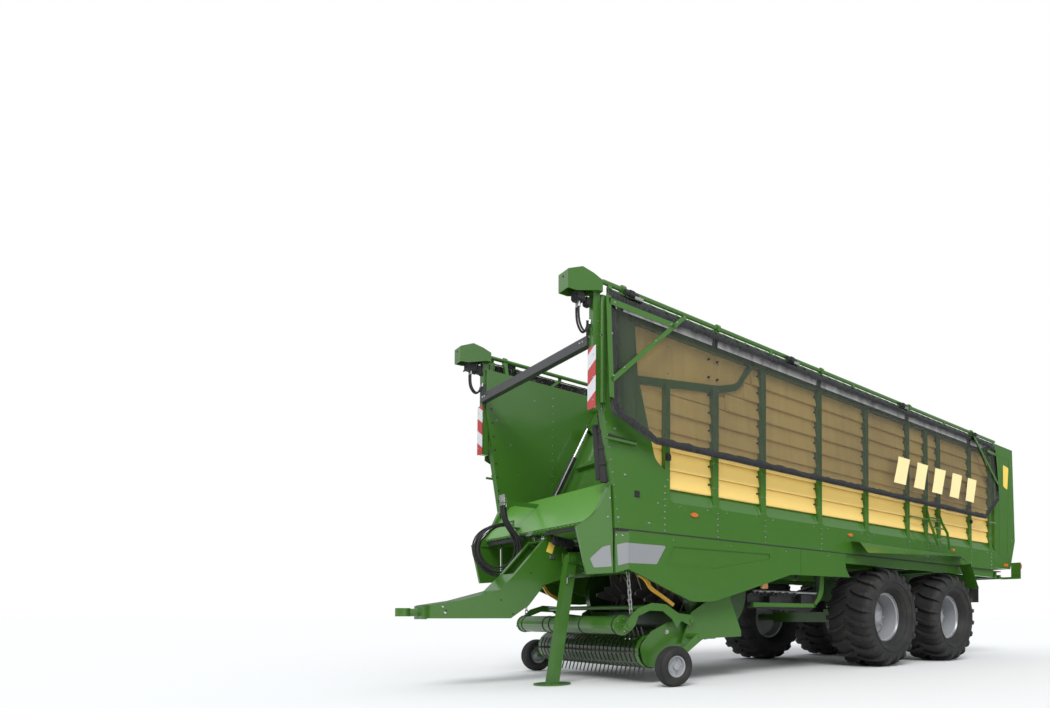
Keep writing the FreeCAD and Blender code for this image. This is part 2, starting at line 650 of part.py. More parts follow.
def gate_hinge():
    """Hinge arm at the top rear of the left wall, with the pin of the tailgate."""
    inner = WALL_OUT_X - GATE_WING_T - GATE_ARM_GAP
    arm = side_cut([(GATE_SEAM_Y - 160.0, WALL_TOP_Z - RAIL_H), (GATE_SEAM_Y, WALL_TOP_Z - RAIL_H),
                    (GATE_HINGE_Y + 40.0, GATE_HINGE_Z - 20.0), (GATE_HINGE_Y + 20.0, GATE_HINGE_Z + 20.0),
                    (GATE_HINGE_Y - 30.0, GATE_HINGE_Z + 20.0), (GATE_SEAM_Y - 160.0, WALL_TOP_Z)],
                   inner - GATE_ARM_T, inner)
    pin = cross_rod(inner - GATE_ARM_T, WALL_OUT_X - 4.0, GATE_HINGE_Y, GATE_HINGE_Z, GATE_PIN_R)
    return fused([arm, pin])


def board_outline():
    """Section of the stepped boards, as (x, z) points."""
    inside = WALL_IN_X + LINING_T
    outside = inside + BOARD_T
    low = SILL_TOP_Z
    pitch = (WALL_TOP_Z - RAIL_H - low) / BOARD_STEPS
    points = []
    for k in range(BOARD_STEPS):
        base = low + k * pitch
        points.append((outside - 14.0, base))
        points.append((outside, base + 12.0))
        points.append((outside, base + pitch * STEP_FLAT))
        points.append((outside - 14.0, base + pitch * STEP_FLAT + 18.0))
    points.append((outside - 14.0, WALL_TOP_Z - RAIL_H))
    points.append((inside, WALL_TOP_Z - RAIL_H))
    points.append((inside, low))
    return points


def wall_boards():
    """Stepped boards of both side walls, behind the posts."""
    inside = WALL_IN_X + LINING_T
    outside = inside + BOARD_T
    boards = long_cut(board_outline(), WALL_FRONT_LOW_Y + 30.0, GATE_SEAM_Y)
    room = list(UPPER_PANEL) + [(UPPER_PANEL[0][0], WALL_TOP_Z)]
    boards = boards.cut(side_cut(room, inside - 1, outside + 1))
    sheet = side_cut(room, inside, outside - UPPER_SHEET_BACK)
    sheet = sheet.common(block(inside, outside, 0, GATE_SEAM_Y, SILL_TOP_Z, WALL_TOP_Z - RAIL_H))
    return pair(fused([boards, sheet]))


def front_crossbar():
    """Dark bar between the front posts, with a strap that rises at each end."""
    half = POST_X - POST_HALF
    rear = WALL_FRONT_TOP_Y - RUN_GAP
    front = rear - CROSSBAR_T
    bar = block(-half, half, front, rear, CROSSBAR_Z - CROSSBAR_H / 2, CROSSBAR_Z + CROSSBAR_H / 2)
    strap = long_cut([(half - HANGER_T, CROSSBAR_Z), (half, CROSSBAR_Z),
                      (half, CROSSBAR_Z + HANGER_H), (half - HANGER_T, CROSSBAR_Z + HANGER_H)],
                     front, rear)
    return fused([bar, strap, mirrored(strap)])


def floor_plate():
    """Floor of the load space."""
    return block(-WALL_IN_X, WALL_IN_X, FLOOR_FRONT_Y, FLOOR_REAR_Y, FLOOR_Z, FLOOR_Z + FLOOR_T)


def scraper_floor():
    """Two pairs of chains with their slats, one fixed loop round the floor."""
    top = FLOOR_Z + FLOOR_T + RUN_GAP
    low = FLOOR_Z - CHAIN_T - RUN_GAP
    front = FLOOR_FRONT_Y + 40.0
    rear = FLOOR_REAR_Y - 40.0
    pieces = []
    for inner, outer in ((CHAIN_XS[0], CHAIN_XS[1]), (CHAIN_XS[2], CHAIN_XS[3])):
        parts = []
        for x in (inner, outer):
            parts.append(block(x - CHAIN_W / 2, x + CHAIN_W / 2, front, rear, top, top + CHAIN_T))
        count = int((rear - front) // SLAT_PITCH)
        for k in range(count):
            y = front + SLAT_PITCH * (k + 0.5)
            parts.append(block(inner - 150.0, outer + 150.0, y, y + SLAT_W, top, top + SLAT_H))
        pieces.append(fused(parts))
    return pieces


def chassis():
    """Long rails, cross members and the rear sill that carry the floor."""
    parts = []
    for side in (-1, 1):
        x0 = side * RAIL_X
        x1 = side * (RAIL_X - RAIL_W)
        outline = [(FLOOR_FRONT_Y, FLOOR_Z), (FLOOR_FRONT_Y, FLOOR_Z - 150.0),
                   (FLOOR_FRONT_Y + 500.0, RAIL_LOW_Z), (FLOOR_REAR_Y - 500.0, RAIL_LOW_Z),
                   (FLOOR_REAR_Y, FLOOR_Z - 130.0), (FLOOR_REAR_Y, FLOOR_Z)]
        parts.append(side_cut(outline, min(x0, x1), max(x0, x1)))
    for y in CROSS_YS:
        parts.append(block(-WALL_IN_X, WALL_IN_X, y - CROSS_W / 2, y + CROSS_W / 2,
                           FLOOR_Z - CROSS_H, FLOOR_Z))
    beam = block(WALL_IN_X, WALL_OUT_X - SKIRT_T, FLOOR_FRONT_Y, GATE_SEAM_Y, FLOOR_Z - CROSS_H, WALL_BASE_Z)
    parts += pair(beam)
    return fused(parts + lamp_beam())


def side_gear():
    """Valve carrier under the left side: plate on hangers, with its bar, block and box."""
    x0, x1 = GEAR_X
    plate = side_cut(GEAR_PLATE, x0, x1)
    parts = [plate]
    for y, z in GEAR_HANGERS:
        parts.append(block(x0, x1, y - 20.0, y + 20.0, z, FLOOR_Z - CROSS_H - RUN_GAP))
    bar_y0, bar_y1, bar_z, bar_r = GEAR_BAR
    parts.append(rod((x1 + bar_r, bar_y0, bar_z), (x1 + bar_r, bar_y1, bar_z), bar_r + 1.0))
    for k in range(GEAR_KNOBS):
        y = bar_y0 + (k + 0.5) * (bar_y1 - bar_y0) / GEAR_KNOBS
        parts.append(cross_rod(x1, x1 + 3 * bar_r, y, bar_z, bar_r * 0.7))
    for y0, y1, z0, z1, out in GEAR_BLOCKS:
        parts.append(block(x1 - 1, x1 + out, y0, y1, z0, z1))
    return fused(parts)


def front_frame():
    """Cheeks beside the feed rotor, front beam and the lugs of the drawbar."""
    half = FRONT_BEAM_S / 2
    front = FRONT_BEAM_Y - half
    rear = FLOOR_FRONT_Y - RUN_GAP
    cheek = side_cut([(front, WALL_BASE_Z), (front, FRONT_BEAM_Z - half)] + list(CHEEK_BELLY)
                     + [(rear, FLOOR_Z - CROSS_H), (rear, WALL_BASE_Z)], CHEEK_X - CHEEK_T, CHEEK_X)
    beam = block(-CHEEK_X, CHEEK_X, front, front + FRONT_BEAM_S, FRONT_BEAM_Z - half, FRONT_BEAM_Z + half)
    ledge = block(CHEEK_X - CHEEK_T, WALL_OUT_X - SKIRT_T, front, rear, WALL_BASE_Z - 40.0, WALL_BASE_Z)
    bearing = cross_rod(CHEEK_X - CHEEK_T, PICKUP_ARM_X + PICKUP_ARM_T + 6.0, ROTOR_Y, ROTOR_Z, BEARING_R)
    whole = fused([cheek, mirrored(cheek), beam, ledge, mirrored(ledge), bearing, mirrored(bearing)]
                  + drawbar_lugs() + rear_lugs())
    return whole.cut(cross_rod(-WALL_OUT_X, WALL_OUT_X, ROTOR_Y, ROTOR_Z, ROTOR_SHAFT_R + PIN_GAP))


def drawbar_lugs():
    """Pair of lugs outside the drawbar on each side, with the hinge pin between them."""
    lugs = []
    inner = DRAWBAR_X + SWING_GAP
    for side in (-1, 1):
        a = side * inner
        b = side * (inner + 22.0)
        plate = side_cut([(DRAWBAR_PIVOT_Y - 60.0, DRAWBAR_PIVOT_Z - 40.0),
                          (FRONT_BEAM_Y - 70.0, FRONT_BEAM_Z - 70.0),
                          (FRONT_BEAM_Y - 70.0, FRONT_BEAM_Z + 70.0),
                          (DRAWBAR_PIVOT_Y - 60.0, DRAWBAR_PIVOT_Z + 50.0)], min(a, b), max(a, b))
        lugs.append(plate)
    lugs.append(cross_rod(-inner - 30.0, inner + 30.0, DRAWBAR_PIVOT_Y, DRAWBAR_PIVOT_Z, DRAWBAR_PIN_R))
    return lugs


def rear_lugs():
    """Brackets behind the front beam for the feet of the drawbar cylinders."""
    lugs = []
    for x in (-DRAWBAR_CYL_X, DRAWBAR_CYL_X):
        for side in (-1, 1):
            a = x + side * 48.0
            b = x + side * 62.0
            lugs.append(side_cut([(FRONT_BEAM_Y + 60.0, FRONT_BEAM_Z - 70.0),
                                  (DRAWBAR_FOOT[0] + 50.0, DRAWBAR_FOOT[1] - 45.0),
                                  (DRAWBAR_FOOT[0] + 50.0, DRAWBAR_FOOT[1] + 45.0),
                                  (DRAWBAR_FOOT[0] - 50.0, DRAWBAR_FOOT[1] + 45.0),
                                  (FRONT_BEAM_Y + 60.0, FRONT_BEAM_Z + 60.0)], min(a, b), max(a, b)))
    lugs.append(cross_rod(-DRAWBAR_CYL_X - 70.0, DRAWBAR_CYL_X + 70.0, DRAWBAR_FOOT[0], DRAWBAR_FOOT[1],
                          DRAWBAR_ROD_R * PIN_SHARE))
    return lugs


def feed_deck():
    """Deck that closes the load space over the feed rotor."""
    plate = block(-CHEEK_X + CHEEK_T, CHEEK_X - CHEEK_T, DECK_FRONT_Y, DECK_REAR_Y, DECK_Z, DECK_Z + DECK_T)
    lip = block(DRAWBAR_X + SWING_GAP, CHEEK_X - CHEEK_T, DECK_FRONT_Y, DECK_FRONT_Y + DECK_T,
                FRONT_BEAM_Z + FRONT_BEAM_S / 2, DECK_Z)
    return fused([plate, lip, mirrored(lip)])


def feed_channel():
    """Curved channel under the feed rotor, with end plates and the knife bank below it."""
    inner = CHANNEL_R
    outer = CHANNEL_R + CHANNEL_T
    half = ROTOR_HALF + 14.0
    ring = cross_rod(-half, half, ROTOR_Y, ROTOR_Z, outer)
    ring = ring.cut(cross_rod(-half - 1, half + 1, ROTOR_Y, ROTOR_Z, inner))
    keep = side_cut([(ROTOR_Y, ROTOR_Z), (ROTOR_Y - 700.0, ROTOR_Z - 404.0),
                     (ROTOR_Y - 700.0, ROTOR_Z - 900.0), (ROTOR_Y + 700.0, ROTOR_Z - 900.0),
                     (ROTOR_Y + 700.0, ROTOR_Z)], -half - 1, half + 1)
    trough = ring.common(keep)
    ramp = side_cut([(ROTOR_Y + inner, ROTOR_Z), (ROTOR_Y + outer, ROTOR_Z),
                     (FLOOR_FRONT_Y - RUN_GAP, FLOOR_Z - 20.0), (FLOOR_FRONT_Y - RUN_GAP, FLOOR_Z),
                     (FLOOR_FRONT_Y - 22.0, FLOOR_Z)], -half, half)
    ends = []
    for side in (-1, 1):
        a = side * half
        b = side * (CHEEK_X - CHEEK_T)
        disc = cross_rod(min(a, b), max(a, b), ROTOR_Y, ROTOR_Z, outer)
        shaft_hole = cross_rod(min(a, b) - 1, max(a, b) + 1, ROTOR_Y, ROTOR_Z, ROTOR_SHAFT_R + 1.0)
        ends.append(disc.cut(shaft_hole))
    return fused([trough, ramp] + ends)


def knife_bank():
    """Rail of knives under the channel, with its carrier."""
    z = ROTOR_Z - CHANNEL_R - CHANNEL_T
    carrier = block(-ROTOR_HALF, ROTOR_HALF, ROTOR_Y - 60.0, ROTOR_Y + 60.0, z - 90.0, z - 30.0)
    parts = [carrier]
    for x in (-ROTOR_HALF, ROTOR_HALF - 30.0):
        parts.append(block(x, x + 30.0, ROTOR_Y - 60.0, ROTOR_Y + 60.0, z - 40.0, z + 20.0))
    for k in range(KNIFE_COUNT):
        x = -ROTOR_HALF + (k + 0.5) * 2 * ROTOR_HALF / KNIFE_COUNT
        parts.append(side_cut([(ROTOR_Y - 180.0, z + 14.0), (ROTOR_Y - 200.0, z - 40.0),
                               (ROTOR_Y - 60.0, z - 100.0), (ROTOR_Y + 120.0, z - 60.0),
                               (ROTOR_Y + 60.0, z - RUN_GAP)], x - KNIFE_T / 2, x + KNIFE_T / 2))
    return parts[0].fuse(parts[1:]).cut(cross_rod(-CHEEK_X, CHEEK_X, ROTOR_Y, ROTOR_Z,
                                                  CHANNEL_R + CHANNEL_T + RUN_GAP))


def feed_rotor():
    """Rotor with rows of pointed stars on a round core."""
    core = turned([(-ROTOR_HALF, ROTOR_CORE_R), (ROTOR_HALF, ROTOR_CORE_R),
                   (ROTOR_HALF, 30.0), (-ROTOR_HALF, 30.0)], 16)
    shaft = cross_rod(-PICKUP_ARM_X - PICKUP_ARM_T, PICKUP_ARM_X + PICKUP_ARM_T, 0, 0, ROTOR_SHAFT_R)
    parts = [core, shaft]
    pitch = 2 * ROTOR_HALF / ROTOR_STARS
    for k in range(ROTOR_STARS):
        x = -ROTOR_HALF + (k + 0.5) * pitch
        twist = 360.0 / ROTOR_POINTS * abs(2.0 * k / (ROTOR_STARS - 1) - 1.0)
        outline = []
        for p in range(ROTOR_POINTS):
            tip = math.radians(twist + 360.0 * p / ROTOR_POINTS)
            valley = tip + math.radians(180.0 / ROTOR_POINTS)
            for angle, radius in ((tip - 0.05, ROTOR_R), (tip + 0.05, ROTOR_R),
                                  (valley, ROTOR_CORE_R * 1.25)):
                outline.append((radius * math.cos(angle), radius * math.sin(angle)))
        parts.append(side_cut(outline, x - ROTOR_STAR_T / 2, x + ROTOR_STAR_T / 2))
    rotor = fused(parts)
    rotor.translate(V(0, ROTOR_Y, ROTOR_Z))
    return rotor


def hood():
    """Sloping hood between the wings, folded under at both edges."""
    (top_y, top_z), (low_y, low_z) = HOOD_TOP, HOOD_LOW
    outline = [(top_y, top_z), (low_y, low_z), (low_y + HOOD_LIP, low_z - HOOD_LIP * 0.5),
               (low_y + HOOD_LIP, low_z - HOOD_LIP * 0.5 + HOOD_T),
               (low_y + HOOD_T * 1.4, low_z + HOOD_T * 0.3), (top_y + HOOD_T * 0.4, top_z - HOOD_T),
               (top_y + HOOD_LIP, top_z - HOOD_T * 0.5), (top_y + HOOD_LIP, top_z + HOOD_T * 0.5)]
    shell = side_cut(outline, -HOOD_X, HOOD_X)
    ends = []
    for side in (-1, 1):
        a = side * HOOD_X
        b = side * (HOOD_X - HOOD_T)
        ends.append(side_cut([(top_y, top_z - 1), (low_y + 2.0, low_z + 2.0), (WALL_FRONT_BASE_Y, low_z),
                              (WALL_FRONT_BASE_Y + 160.0, low_z + 140.0)], min(a, b), max(a, b)))
    return fused([shell] + ends)


def folded(shape):
    """Turn a piece of the skirt inwards about the upright fold line."""
    copy = shape.copy()
    copy.rotate(V(WALL_OUT_X, SKIRT_FOLD_Y, 0), UP, -SKIRT_FOLD)
    return copy


def skirt():
    """Left skirt: nose beside the hood, belly over the feed rotor and the rear panel."""
    outer, inner = WALL_OUT_X, WALL_OUT_X - SKIRT_T
    top = WALL_BASE_Z - 2.0
    deep = outer - INSET_DEEP
    nose = side_cut(NOSE_OUTLINE, inner, outer).cut(side_cut(NOSE_INSET, deep, outer + 1))
    within = folded(block(WALL_IN_X - 300.0, outer - 1, -400.0, SKIRT_FOLD_Y, top - 20.0, SILL_TOP_Z))
    cap = side_cut(NOSE_CAP, WALL_IN_X, outer).common(within)
    nose = fused([folded(nose), cap])
    front = side_cut([(WALL_FRONT_BASE_Y + 14.0, top), (233.0, 1098.0), (SKIRT_FOLD_Y, 1139.0),
                      (SKIRT_FOLD_Y, top)], inner, outer)
    front = front.cut(side_cut(FRONT_INSET, deep, outer + 1))
    belly = side_cut([(SKIRT_FOLD_Y, top), (SKIRT_FOLD_Y, 1139.0)] + list(BELLY_EDGE)
                     + [(SKIRT_SPLIT_Y - 6.0, 1192.0), (SKIRT_SPLIT_Y - 6.0, top)], inner, outer)
    belly = belly.cut(side_cut(BELLY_INSET, deep, outer + 1))
    belly = belly.cut(side_cut(BELLY_POCKET, outer - POCKET_DEEP, outer + 1))
    belly = fused([folded(front), belly])
    rear = side_cut([(SKIRT_SPLIT_Y, top), (SKIRT_SPLIT_Y, 1192.0), (3860.0, 1205.0), (3720.0, 1360.0, 200.0),
                     (3790.0, top)], inner, outer)
    return [nose, belly, rear]


def fender():
    """Left mudguard: a wing that slopes out from the wall, closed at the rear down to the flap."""
    wall, rim_x = WALL_OUT_X + RUN_GAP, FENDER_OUT_X
    edge = [V(rim_x, y, z) for y, z in FENDER_EDGE]
    root = [V(wall, y, z) for y, z in FENDER_ROOT]
    parts = []
    for i in range(len(edge) - 1):
        for corners in ([edge[i], edge[i + 1], root[i + 1]], [edge[i], root[i + 1], root[i]]):
            parts.append(face_of(corners).extrude(V(0, 0, -FENDER_T)))
    (top_y, top_z), (low_y, low_z) = FENDER_EDGE[-1], FLAP_TOP
    slope = [(top_y, top_z), (low_y, low_z), (low_y - FENDER_T, low_z), (top_y - FENDER_T, top_z - FENDER_T)]
    parts.append(side_cut(slope, wall, rim_x))
    share = (top_z - FLOOR_Z + CROSS_H + SWING_GAP) / (top_z - low_z)
    mid_y, mid_z = top_y + (low_y - top_y) * share, top_z + (low_z - top_z) * share
    parts.append(side_cut([(mid_y, mid_z), (low_y, low_z), (low_y - FENDER_T, low_z),
                           (mid_y - FENDER_T, mid_z)], FLAP_IN_X, rim_x))
    return fused(parts)


def mudflap():
    """Rubber flap at the rear of the left mudguard."""
    y, z = FLAP_TOP
    return block(FLAP_IN_X + 10.0, FENDER_OUT_X - 10.0, y - FENDER_T, y - FENDER_T + FLAP_T, z - FLAP_H,
                 z - RUN_GAP)


# ================================================================ running gear
def bogie():
    """Hangers, spring packs and the two axle beams."""
    parts = []
    mid = (AXLE_FRONT_Y + AXLE_REAR_Y) / 2
    z = WHEEL_R
    top = z + AXLE_S / 2
    for side in (-1, 1):
        a = side * SPRING_X - SPRING_W / 2
        b = side * SPRING_X + SPRING_W / 2
        pack = side_cut([(AXLE_FRONT_Y - 160.0, top), (AXLE_FRONT_Y + 160.0, top),
                         (mid - 200.0, top + 190.0), (mid + 200.0, top + 190.0), (AXLE_REAR_Y - 160.0, top),
                         (AXLE_REAR_Y + 160.0, top), (AXLE_REAR_Y + 160.0, top + 40.0),
                         (mid + 200.0, top + 190.0 + SPRING_PACK_H),
                         (mid - 200.0, top + 190.0 + SPRING_PACK_H), (AXLE_FRONT_Y - 160.0, top + 40.0)], a,
                        b)
        hanger = side_cut([(mid - 110.0, top + 190.0), (mid + 110.0, top + 190.0), (mid + 260.0, RAIL_LOW_Z),
                           (mid - 260.0, RAIL_LOW_Z)], a + 10.0, b - 10.0)
        parts += [pack, hanger]
    parts.append(block(-KINGPIN_X - 90.0, KINGPIN_X + 90.0, AXLE_FRONT_Y - AXLE_S / 2,
                       AXLE_FRONT_Y + AXLE_S / 2, z - AXLE_S / 2, top))
    for side in (-1, 1):
        a, b = side * (KINGPIN_X + 60.0), side * (WHEEL_X + 60.0)
        parts.append(cross_rod(min(a, b), max(a, b), AXLE_FRONT_Y, z, STUB_R))
    parts.append(block(-KINGPIN_X + 110.0, KINGPIN_X - 110.0, AXLE_REAR_Y - AXLE_S / 2,
                       AXLE_REAR_Y + AXLE_S / 2, z - AXLE_S / 2, top))
    for side in (-1, 1):
        for low in (z - AXLE_S / 2, top - 30.0):
            a, b = side * (KINGPIN_X - 120.0), side * (KINGPIN_X + 50.0)
            jaw = block(min(a, b), max(a, b), AXLE_REAR_Y - 60.0, AXLE_REAR_Y + 60.0, low, low + 30.0)
            parts.append(jaw)
        parts.append(Part.makeCylinder(KINGPIN_R, AXLE_S + 20.0,
                                       V(side * KINGPIN_X, AXLE_REAR_Y, z - AXLE_S / 2 - 10.0)))
    return fused(parts)


def knuckle():
    """Left steering knuckle: kingpin barrel, stub axle and steering arm."""
    z = WHEEL_R
    low = z - AXLE_S / 2 + 30.0 + RUN_GAP
    high = z + AXLE_S / 2 - 30.0 - RUN_GAP
    barrel = Part.makeCylinder(KINGPIN_R * 1.7, high - low, V(KINGPIN_X, AXLE_REAR_Y, low))
    neck = cross_rod(KINGPIN_X, KINGPIN_X + 90.0, AXLE_REAR_Y, z, (high - low) / 2 - 1)
    stub = cross_rod(KINGPIN_X + 80.0, WHEEL_X + 60.0, AXLE_REAR_Y, z, STUB_R)
    arm = block(KINGPIN_X - 34.0, KINGPIN_X + 34.0, AXLE_REAR_Y, AXLE_REAR_Y + TIE_ARM + 34.0, low,
                low + 26.0)
    hole = Part.makeCylinder(KINGPIN_R + PIN_GAP, high - low + 2, V(KINGPIN_X, AXLE_REAR_Y, low - 1))
    return fused([barrel, neck, stub, arm]).cut(hole)


def tie_rod():
    """Tie rod under the ends of the steering arms."""
    z = WHEEL_R - AXLE_S / 2 + 30.0
    y = AXLE_REAR_Y + TIE_ARM
    bar = cross_rod(-KINGPIN_X - 20.0, KINGPIN_X + 20.0, y, z - 2 * TIE_R, TIE_R)
    studs = []
    for side in (-1, 1):
        studs.append(Part.makeCylinder(TIE_R * 0.8, 2 * TIE_R, V(side * KINGPIN_X, y, z - 2 * TIE_R)))
    return fused([bar] + studs)


def tyre():
    """Big tyre of the left front wheel: rounded casing with a row of lugs on each shoulder."""
    half = WHEEL_W / 2
    crown = WHEEL_R - LUG_H
    outline = [(-half * 0.60, RIM_R), (half * 0.60, RIM_R), (half, RIM_R + 150.0),
               (half * 0.76, crown - 12.0), (-half * 0.76, crown - 12.0), (-half, RIM_R + 150.0)]
    casing = turned(outline, TYRE_SIDES)
    lugs = []
    step = 360.0 / LUG_COUNT
    for k in range(LUG_COUNT):
        for side in (-1, 1):
            centre = step * (k + (0.25 if side > 0 else -0.25))
            lugs.append(tread_lug(side, centre))
    whole = casing.fuse(lugs)
    whole.translate(V(WHEEL_X, AXLE_FRONT_Y, WHEEL_R))
    return whole


def tread_lug(side, centre):
    """One slanting lug from the middle of the tread out to the shoulder, narrower on top."""
    half = WHEEL_W / 2
    root = WHEEL_R - LUG_H - 60.0
    spread = LUG_W / 2 / WHEEL_R
    rings = []
    for x, top, turn in ((0.03 * half, WHEEL_R, LUG_TURN), (0.84 * half, WHEEL_R - 20.0, -LUG_TURN)):
        angle = math.radians(centre + turn)
        corners = ((root, -spread), (root, spread), (top, 0.8 * spread), (top, -0.8 * spread))
        rings.append([V(side * x, r * math.cos(angle + turn_by), r * math.sin(angle + turn_by))
                      for r, turn_by in corners])
    inner, outer = rings
    faces = [face_of(inner), face_of(outer)]
    for i in range(4):
        j = (i + 1) % 4
        faces.append(face_of([inner[i], inner[j], outer[j]]))
        faces.append(face_of([inner[i], outer[j], outer[i]]))
    shell = Part.makeShell(faces)
    shell.sewShape()
    solid = Part.Solid(shell)
    if solid.Volume < 0:
        solid.reverse()
    return solid


def rim():
    """Deep-dished rim of the left front wheel, with its hub."""
    half = WHEEL_W / 2 * 0.60
    outline = [(-half, RIM_R - RUN_GAP), (half, RIM_R - RUN_GAP), (half, RIM_R - 22.0), (-40.0, RIM_R - 40.0),
               (20.0, HUB_R), (96.0, HUB_R), (96.0, STUB_R + PIN_GAP), (-90.0, STUB_R + PIN_GAP),
               (-90.0, HUB_R), (-30.0, HUB_R), (-80.0, RIM_R - 40.0), (-half, RIM_R - 22.0)]
    whole = turned(outline, TYRE_SIDES)
    whole.translate(V(WHEEL_X, AXLE_FRONT_Y, WHEEL_R))
    return whole


def wheel_at(shape, side, y):
    """Copy of the left front wheel's piece at another corner."""
    copy = shape.copy() if side > 0 else mirrored(shape)
    copy.translate(V(0, y - AXLE_FRONT_Y, 0))
    return copy


def gauge_tyre():
    """Tyre of the left gauge wheel."""
    half = GAUGE_W / 2
    outline = [(-half * 0.62, GAUGE_RIM_R), (half * 0.62, GAUGE_RIM_R), (half, GAUGE_RIM_R + 34.0),
               (half * 0.92, GAUGE_R - 26.0), (half * 0.6, GAUGE_R), (-half * 0.6, GAUGE_R),
               (-half * 0.92, GAUGE_R - 26.0), (-half, GAUGE_RIM_R + 34.0)]
    whole = turned(outline, 24)
    whole.translate(V(GAUGE_X, GAUGE_Y, GAUGE_R))
    return whole


def gauge_rim():
    """Rim of the left gauge wheel."""
    half = GAUGE_W / 2 * 0.62
    outline = [(-half, GAUGE_RIM_R - RUN_GAP), (half, GAUGE_RIM_R - RUN_GAP), (half, GAUGE_RIM_R - 8.0),
               (10.0, GAUGE_RIM_R - 22.0), (6.0, 34.0), (34.0, 34.0), (34.0, 14.0 + PIN_GAP),
               (-44.0, 14.0 + PIN_GAP), (-44.0, 34.0), (-6.0, 34.0), (-2.0, GAUGE_RIM_R - 22.0),
               (-half, GAUGE_RIM_R - 8.0)]
    whole = turned(outline, 24)
    whole.translate(V(GAUGE_X, GAUGE_Y, GAUGE_R))
    return whole


# ================================================================ pickup
def pickup_frame():
    """End plates, lifting arms, cross tube, stripper bands and gauge wheel arms."""
    parts = []
    plate_outline = [(REEL_Y - 160.0, REEL_Z + 60.0, 90.0), (REEL_Y - 110.0, REEL_Z - 150.0, 120.0),
                     (REEL_Y + 60.0, REEL_Z - 170.0, 150.0), (REEL_Y + 300.0, REEL_Z - 60.0),
                     (REEL_Y + 560.0, REEL_Z + 160.0, 60.0), (REEL_Y + 540.0, REEL_Z + 330.0, 60.0),
                     (REEL_Y + 200.0, REEL_Z + 300.0, 100.0), (REEL_Y - 20.0, REEL_Z + 205.0, 100.0)]
    arm_outline = [(REEL_Y + 330.0, REEL_Z + 60.0), (REEL_Y + 700.0, REEL_Z + 120.0),
                   (ROTOR_Y + 295.0, ROTOR_Z - 500.0), (ROTOR_Y + 295.0, ROTOR_Z - 440.0),
                   (ROTOR_Y + 120.0, ROTOR_Z - 60.0), (ROTOR_Y + 105.0, ROTOR_Z + 90.0),
                   (ROTOR_Y - 105.0, ROTOR_Z + 90.0), (ROTOR_Y - 130.0, ROTOR_Z - 60.0),
                   (ROTOR_Y - 300.0, ROTOR_Z - 150.0), (REEL_Y + 460.0, REEL_Z + 400.0)]
    hub = cross_rod(CHEEK_X - 2.0, PICKUP_ARM_X + PICKUP_ARM_T + 2.0, ROTOR_Y, ROTOR_Z, BEARING_R + PIN_GAP)
    for side in (-1, 1):
        a, b = side * PICKUP_HALF, side * (PICKUP_HALF + PICKUP_PLATE_T)
        plate = side_cut(plate_outline, min(a, b), max(a, b))
        a, b = side * PICKUP_ARM_X, side * (PICKUP_ARM_X + PICKUP_ARM_T)
        arm = side_cut(arm_outline, min(a, b), max(a, b))
        arm = arm.cut(hub if side > 0 else mirrored(hub))
        parts += [plate, arm]
        a, b = side * PICKUP_HALF, side * (GAUGE_X - GAUGE_W / 2 - 20.0)
        parts.append(cross_rod(min(a, b), max(a, b), REEL_Y + 420.0, REEL_Z + 150.0, 32.0))
        strut_x = side * (GAUGE_X - GAUGE_W / 2 - 34.0)
        parts.append(side_cut([(GAUGE_Y - 24.0, GAUGE_R - 24.0), (GAUGE_Y + 24.0, GAUGE_R - 24.0),
                               (REEL_Y + 450.0, REEL_Z + 120.0), (REEL_Y + 450.0, REEL_Z + 182.0),
                               (REEL_Y + 390.0, REEL_Z + 182.0), (GAUGE_Y - 24.0, GAUGE_R + 24.0)],
                              strut_x - 9.0, strut_x + 9.0))
        a, b = strut_x, side * (GAUGE_X + 40.0)
        parts.append(cross_rod(min(a, b), max(a, b), GAUGE_Y, GAUGE_R, 14.0))
    half = PICKUP_HALF
    parts.append(block(-half, half, REEL_Y + 380.0, REEL_Y + 460.0, REEL_Z + 110.0, REEL_Z + 190.0))
    parts += stripper_bands()
    parts.append(cross_rod(-half, half, REEL_Y, REEL_Z, REEL_SHAFT_R))
    return fused(parts)


def stripper_bands():
    """Bent steel bands between the rows of tines, open to the rear, on the cross tube."""
    bands = []
    pitch = 2 * (PICKUP_HALF - 30.0) / TINE_COUNT
    width = pitch - TINE_T - 14.0
    for k in range(TINE_COUNT + 1):
        x = -PICKUP_HALF + 30.0 + k * pitch
        outer, inner = [], []
        for n in range(STRIP_SIDES + 1):
            angle = math.radians(70.0 + n * (220.0 / STRIP_SIDES))
            outer.append((REEL_Y + STRIP_R * math.cos(angle), REEL_Z + STRIP_R * math.sin(angle)))
            inner.append((REEL_Y + (STRIP_R - STRIP_T) * math.cos(angle),
                          REEL_Z + (STRIP_R - STRIP_T) * math.sin(angle)))
        tail_top = [(REEL_Y + 400.0, REEL_Z + 190.0), (REEL_Y + 400.0, REEL_Z + 190.0 - STRIP_T)]
        tail_low = [(REEL_Y + 400.0, REEL_Z + 110.0), (REEL_Y + 400.0, REEL_Z + 110.0 + STRIP_T)]
        outline = [tail_top[0]] + outer + tail_low + list(reversed(inner)) + [tail_top[1]]
        bands.append(side_cut(outline, x - width / 2, x + width / 2))
    return bands


